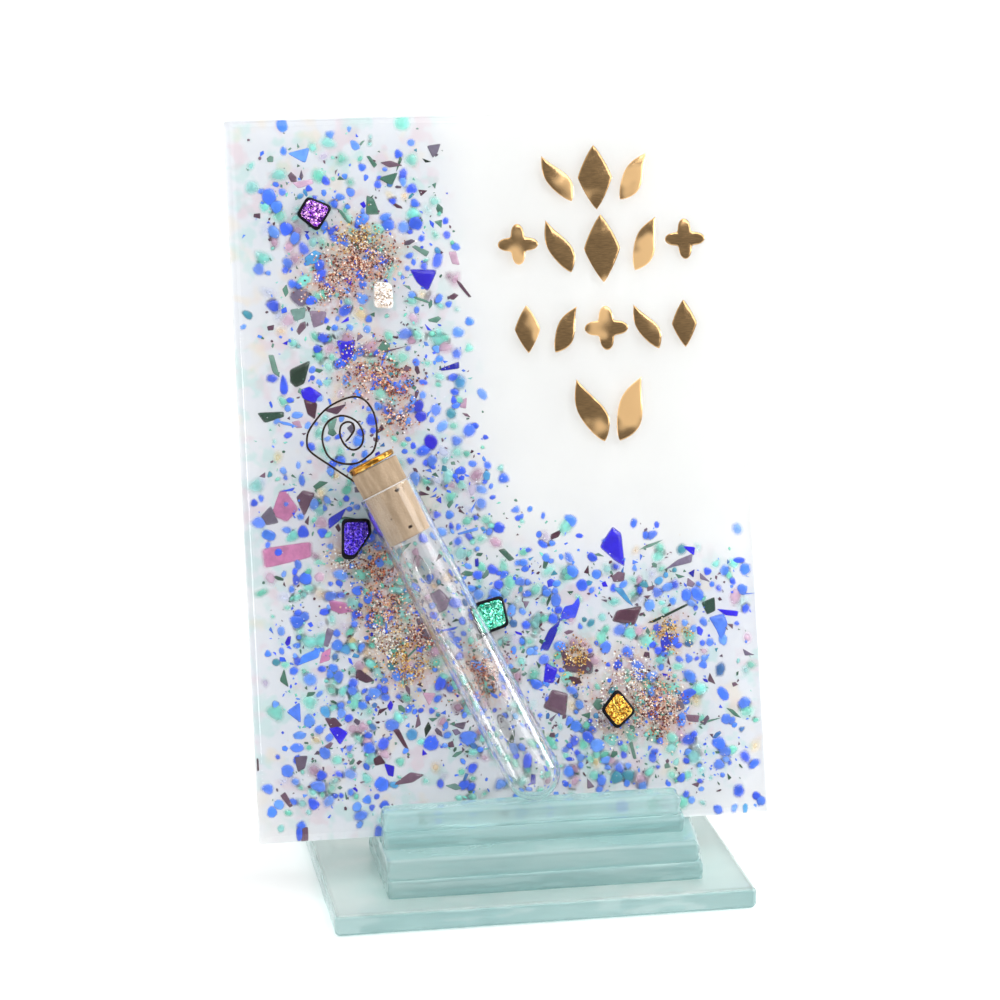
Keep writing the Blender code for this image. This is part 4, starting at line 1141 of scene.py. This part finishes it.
def build_cork():
    rng = random.Random(5)
    # Pores: angle round the cork, place along it, half width, half height, depth
    pores = [(-1.3, 98.2, 0.8, 0.55, 0.9), (-1.5, 87.2, 0.75, 0.5, 0.8), (-2.1, 91.5, 0.4, 0.3, 0.4)]
    for _ in range(64):
        reach = rng.uniform(0.16, 0.42)
        where, along = rng.uniform(-math.pi, math.pi), rng.uniform(85.5, 106.5)
        pores.append((where, along, reach, reach * 0.7, rng.uniform(0.1, 0.3)))
    depths = {}

    def shape(radius, angle, height):
        wrapped = (angle + math.pi) % math.tau - math.pi
        surface = radius + 0.05 * noise.noise((3 * math.cos(angle), 3 * math.sin(angle), height * 0.4))
        surface += 0.03 * noise.noise((9 * math.cos(angle), 9 * math.sin(angle), height * 1.6))
        sunk = 0.0
        if radius > 4.5:
            for where, along, wide, tall, depth in pores:
                turn = abs(wrapped - where)
                turn = min(turn, math.tau - turn) * radius
                away = math.hypot(turn / wide, (height - along) / tall)
                if away < 1.25:
                    ragged = away + 0.35 * noise.noise((turn * 3, height * 3, where * 5))
                    sunk = max(sunk, depth * max(0.0, 1 - ragged * ragged))
        depths[(round(surface - sunk, 5), round(angle, 5), round(height, 5))] = sunk
        return surface - sunk, height

    bottom, top = CORK["bottom"], CORK["top"]
    low_r, high_r, cut = CORK["bottom_radius"], CORK["top_radius"], CORK["chamfer"]
    profile = [(0, bottom)] + [(low_r * s, bottom) for s in (0.3, 0.6, 0.85)]
    profile += [(low_r - cut, bottom), (low_r - cut * 0.4, bottom + 0.12), (low_r, bottom + cut)]
    for share in np.linspace(0.02, 0.98, 92)[1:]:
        profile.append((low_r + (high_r - low_r) * share, bottom + (top - bottom) * share))
    profile += [(high_r, top - cut), (high_r - cut * 0.4, top - 0.12), (high_r - cut, top)]
    profile += [(high_r * s, top) for s in (0.8, 0.5, 0.2)] + [(0, top)]
    mesh = mesh_of("cork_body", lathe(profile, 176, shape), 50)
    sunk_by_place = {(round(r, 2), round(h, 2), round(a * 28)): s for (r, a, h), s in depths.items() if s > 0}
    pits = []
    for vert in mesh.vertices:
        x, y, z = vert.co / MM
        place = (round(math.hypot(x, y), 2), round(z, 2), round(math.atan2(y, x) % math.tau * 28))
        pits.append(min(sunk_by_place.get(place, 0.0) * 2.2, 1.0))
    pit = mesh.attributes.new("pit", "FLOAT", "POINT")
    pit.data.foreach_set("value", np.array(pits, np.float32))
    add_piece("cork_body", mesh, cork(), "stopper", TUBE, ["cork_stopper"])


def build_cap():
    """A gilded disc, hand cut: its rim waves a little and its top is domed."""
    low, high, radius = 107.55, 109.4, 7.15

    def shape(r, angle, height):
        wave = 0.07 * math.sin(3 * angle + 1) + 0.05 * noise.noise((2 * math.cos(angle), 2 * math.sin(angle), 4.0))
        crease = 0.06 * noise.noise((r * 0.5 * math.cos(angle), r * 0.5 * math.sin(angle), height * 0.3))
        tilt = 0.03 * r * math.cos(angle)
        return r * (1 + wave / radius) - 0.08, height + crease * (r / radius) + tilt * (high - height) / (high - low)

    profile = [(0, low)] + [(radius * s, low) for s in (0.3, 0.6, 0.85, 0.93)]
    profile += arc((radius - 0.5, low + 0.5), 0.5, -80, 0, 5) + arc((radius - 0.6, high - 0.6), 0.6, 0, 85, 6)
    profile += [(radius * s, high + 0.12 * (1 - s * s)) for s in (0.85, 0.7, 0.5, 0.3, 0.12)] + [(0, high + 0.13)]
    mesh = mesh_of("gilt_disc", lathe(profile, 120, shape), 60)
    # The pale colour is the gilt's painted highlight
    metal = gold("gilt", (176, 112, 30), (250, 208, 110), 0.3)
    add_piece("gilt_disc", mesh, metal, "stopper", TUBE, ["gilt_cap"])


# Bends of the hand-wound wire, across the tube and along it, in mm. The first is inside the cork.
WIRE_BENDS = [
    (-5.5, 103.3), (-7.1, 106.1), (-11.0, 113.1), (-14.2, 119.3), (-13.6, 122.6), (-11.1, 125.2),
    (-5.1, 127.9), (0.5, 128.3), (4.8, 127.2), (6.8, 124.5), (7.1, 120.4), (5.6, 115.8), (2.7, 111.7),
    (-0.2, 110.5), (-4.1, 110.3), (-7.9, 112.3), (-10.2, 115.7), (-9.7, 120.4), (-7.3, 123.7), (-4.3, 124.8),
    (-0.9, 124.0), (1.6, 120.9), (1.8, 117.3), (0.1, 114.5), (-2.1, 113.8), (-3.8, 114.8), (-4.6, 116.9),
    (-4.4, 119.7), (-2.9, 121.8), (-0.9, 122.0), (0.3, 120.9), (0.0, 119.2), (-1.4, 118.2), (-2.9, 117.5),
    (-3.9, 117.2),
]


def smooth_path(points, step_length):
    """Points on a Catmull-Rom curve through the given points."""
    path = []
    padded = [points[0] * 2 - points[1]] + points + [points[-1] * 2 - points[-2]]
    for index in range(1, len(padded) - 2):
        before, start, end, after = padded[index - 1 : index + 3]
        count = max(1, round((end - start).length / step_length))
        for step in range(count):
            t = step / count
            linear_part = 2 * start + (end - before) * t
            square = (2 * before - 5 * start + 4 * end - after) * t**2
            cube = (3 * start - before - 3 * end + after) * t**3
            path.append((linear_part + square + cube) / 2)
    return path + [points[-1]]


def build_wire():
    path = smooth_path([Vector((across, 0, along)) for across, along in WIRE_BENDS], 0.35)
    curve = bpy.data.curves.new("wire", "CURVE")
    curve.dimensions = "3D"
    curve.bevel_depth = 0.3 * MM
    curve.bevel_resolution = 4
    curve.use_fill_caps = True
    spline = curve.splines.new("POLY")
    spline.points.add(len(path) - 1)
    for index, (point, place) in enumerate(zip(spline.points, path)):
        bow = 0.12 * noise.noise((index * 0.04, 2.0, 1.0))
        point.co = (*(Vector((place.x, bow, place.z)) * MM), 1)
        point.radius = 1 + 0.05 * noise.noise((index * 0.2, 0.0, 3.0)) - (0.35 if index >= len(path) - 2 else 0)
    holder = bpy.data.objects.new("wire", curve)
    SCENE.collection.objects.link(holder)
    bpy.context.view_layer.update()
    mesh = bpy.data.meshes.new_from_object(holder.evaluated_get(bpy.context.evaluated_depsgraph_get()))
    bpy.data.objects.remove(holder)
    bm = bmesh.new()
    bm.from_mesh(mesh)
    mesh = mesh_of("wire_scroll", bm, 50, 1e-6)
    add_piece("wire_scroll", mesh, wire_metal(), "stopper", TUBE, ["wire_spiral"])


# ---- studio


def build_studio():
    """A pale paper sweep under a soft sky."""
    bm = bmesh.new()
    profile = [(-2.5, 0.0), (0.9, 0.0)] + [(0.9 + y, z) for y, z in arc((0, 0.5), 0.5, -85, 0, 14)] + [(1.4, 3.0)]
    rows = [[bm.verts.new((x, y, z)) for y, z in profile] for x in (-3.0, 3.0)]
    for i in range(len(profile) - 1):
        bm.faces.new((rows[0][i], rows[1][i], rows[1][i + 1], rows[0][i + 1]))
    mesh = bpy.data.meshes.new("sweep")
    bm.to_mesh(mesh)
    bm.free()
    mesh.shade_smooth()
    sweep = bpy.data.objects.new("studio_sweep", mesh)
    SCENE.collection.objects.link(sweep)
    g = Graph("paper_sweep")
    fibre = g.noise(g.node("TexCoord").outputs["Object"], 60.0, 3)
    tone = g.mix(fibre, (0.83, 0.83, 0.83), (0.85, 0.85, 0.85))
    paper = g.gloss(Base_Color=tone, Roughness=0.9, Emission_Color=(1.0, 1.0, 1.0), Emission_Strength=0.18)
    mesh.materials.append(g.surface(paper))

    world = bpy.data.worlds.new("studio")
    SCENE.world = world
    world.use_nodes = True
    nodes, links = world.node_tree.nodes, world.node_tree.links
    nodes.clear()
    coords = nodes.new("ShaderNodeTexCoord")
    split = nodes.new("ShaderNodeSeparateXYZ")
    ramp = nodes.new("ShaderNodeValToRGB")
    background = nodes.new("ShaderNodeBackground")
    output = nodes.new("ShaderNodeOutputWorld")
    reach = nodes.new("ShaderNodeMapRange")
    reach.inputs["From Min"].default_value = -1.0
    links.new(coords.outputs["Generated"], split.inputs[0])
    links.new(split.outputs["Y"], reach.inputs[0])
    links.new(reach.outputs[0], ramp.inputs[0])
    links.new(ramp.outputs[0], background.inputs["Color"])
    links.new(background.outputs[0], output.inputs[0])
    ramp.color_ramp.elements[0].color = (0.36, 0.355, 0.35, 1)
    ramp.color_ramp.elements[1].position = 0.55
    ramp.color_ramp.elements[1].color = (0.95, 0.95, 0.95, 1)
    background.inputs["Strength"].default_value = 0.85


def add_softbox(name, place, aim, width, height, power):
    light = bpy.data.lights.new(name, "AREA")
    light.shape = "RECTANGLE"
    light.size, light.size_y = width, height
    light.energy = power
    holder = bpy.data.objects.new(name, light)
    SCENE.collection.objects.link(holder)
    holder.location = place
    holder.rotation_mode = "QUATERNION"
    holder.rotation_quaternion = (Vector(aim) - Vector(place)).to_track_quat("-Z", "Y")


def build_lights():
    middle = (-0.005, 0.0, 0.1)
    add_softbox("key_left", (-0.7, -0.75, 0.8), middle, 0.8, 0.8, 1.75)
    add_softbox("key_right", (0.42, -0.34, 0.4), middle, 0.3, 0.3, 0.75)
    add_softbox("strip_left", (-0.75, -0.5, 0.3), middle, 0.2, 0.25, 0.9)
    add_softbox("strip_right", (0.75, -0.03, 0.28), (0.01, -0.03, 0.07), 0.14, 0.19, 2.4)
    add_softbox("fill_right", (0.45, -0.75, 1.0), middle, 0.6, 0.4, 2.6)
    add_softbox("top", (0.05, -0.2, 1.1), middle, 1.0, 0.8, 3.35)
    add_softbox("rear_wash", (0.0, 0.7, 0.9), (0, 1.2, 0.2), 1.2, 0.4, 4.0)


def build_camera():
    """The photograph's viewpoint, from a perspective fit of the panel, the tube and the base plate."""
    azimuth, elevation, roll = (math.radians(angle) for angle in (-9.779, 14.719, -0.183))
    distance = 0.93113
    target = Vector((-0.005861, 0.0, 0.113169))
    back = Vector(
        (math.sin(azimuth) * math.cos(elevation), -math.cos(azimuth) * math.cos(elevation), math.sin(elevation))
    )
    right = Vector((math.cos(azimuth), math.sin(azimuth), 0))
    up = back.cross(right)
    across = right * math.cos(roll) + up * math.sin(roll)
    above = up * math.cos(roll) - right * math.sin(roll)
    turn = Matrix((across, above, back)).transposed()
    camera = bpy.data.objects.new("camera", bpy.data.cameras.new("camera"))
    SCENE.collection.objects.link(camera)
    camera.matrix_world = Matrix.Translation(target + back * distance) @ turn.to_4x4()
    camera.data.lens = 116.25
    camera.data.sensor_width = 36
    camera.data.clip_start = 0.05
    camera.data.clip_end = 20
    SCENE.camera = camera


build_camera()
build_studio()
build_lights()
build_stand(stand_glass())
build_panel()
build_tiles()
build_ornaments()
build_tube()
build_beads()
build_cork()
build_cap()
build_wire()

SCENE.view_settings.view_transform = "Standard"
SCENE.view_settings.look = "None"
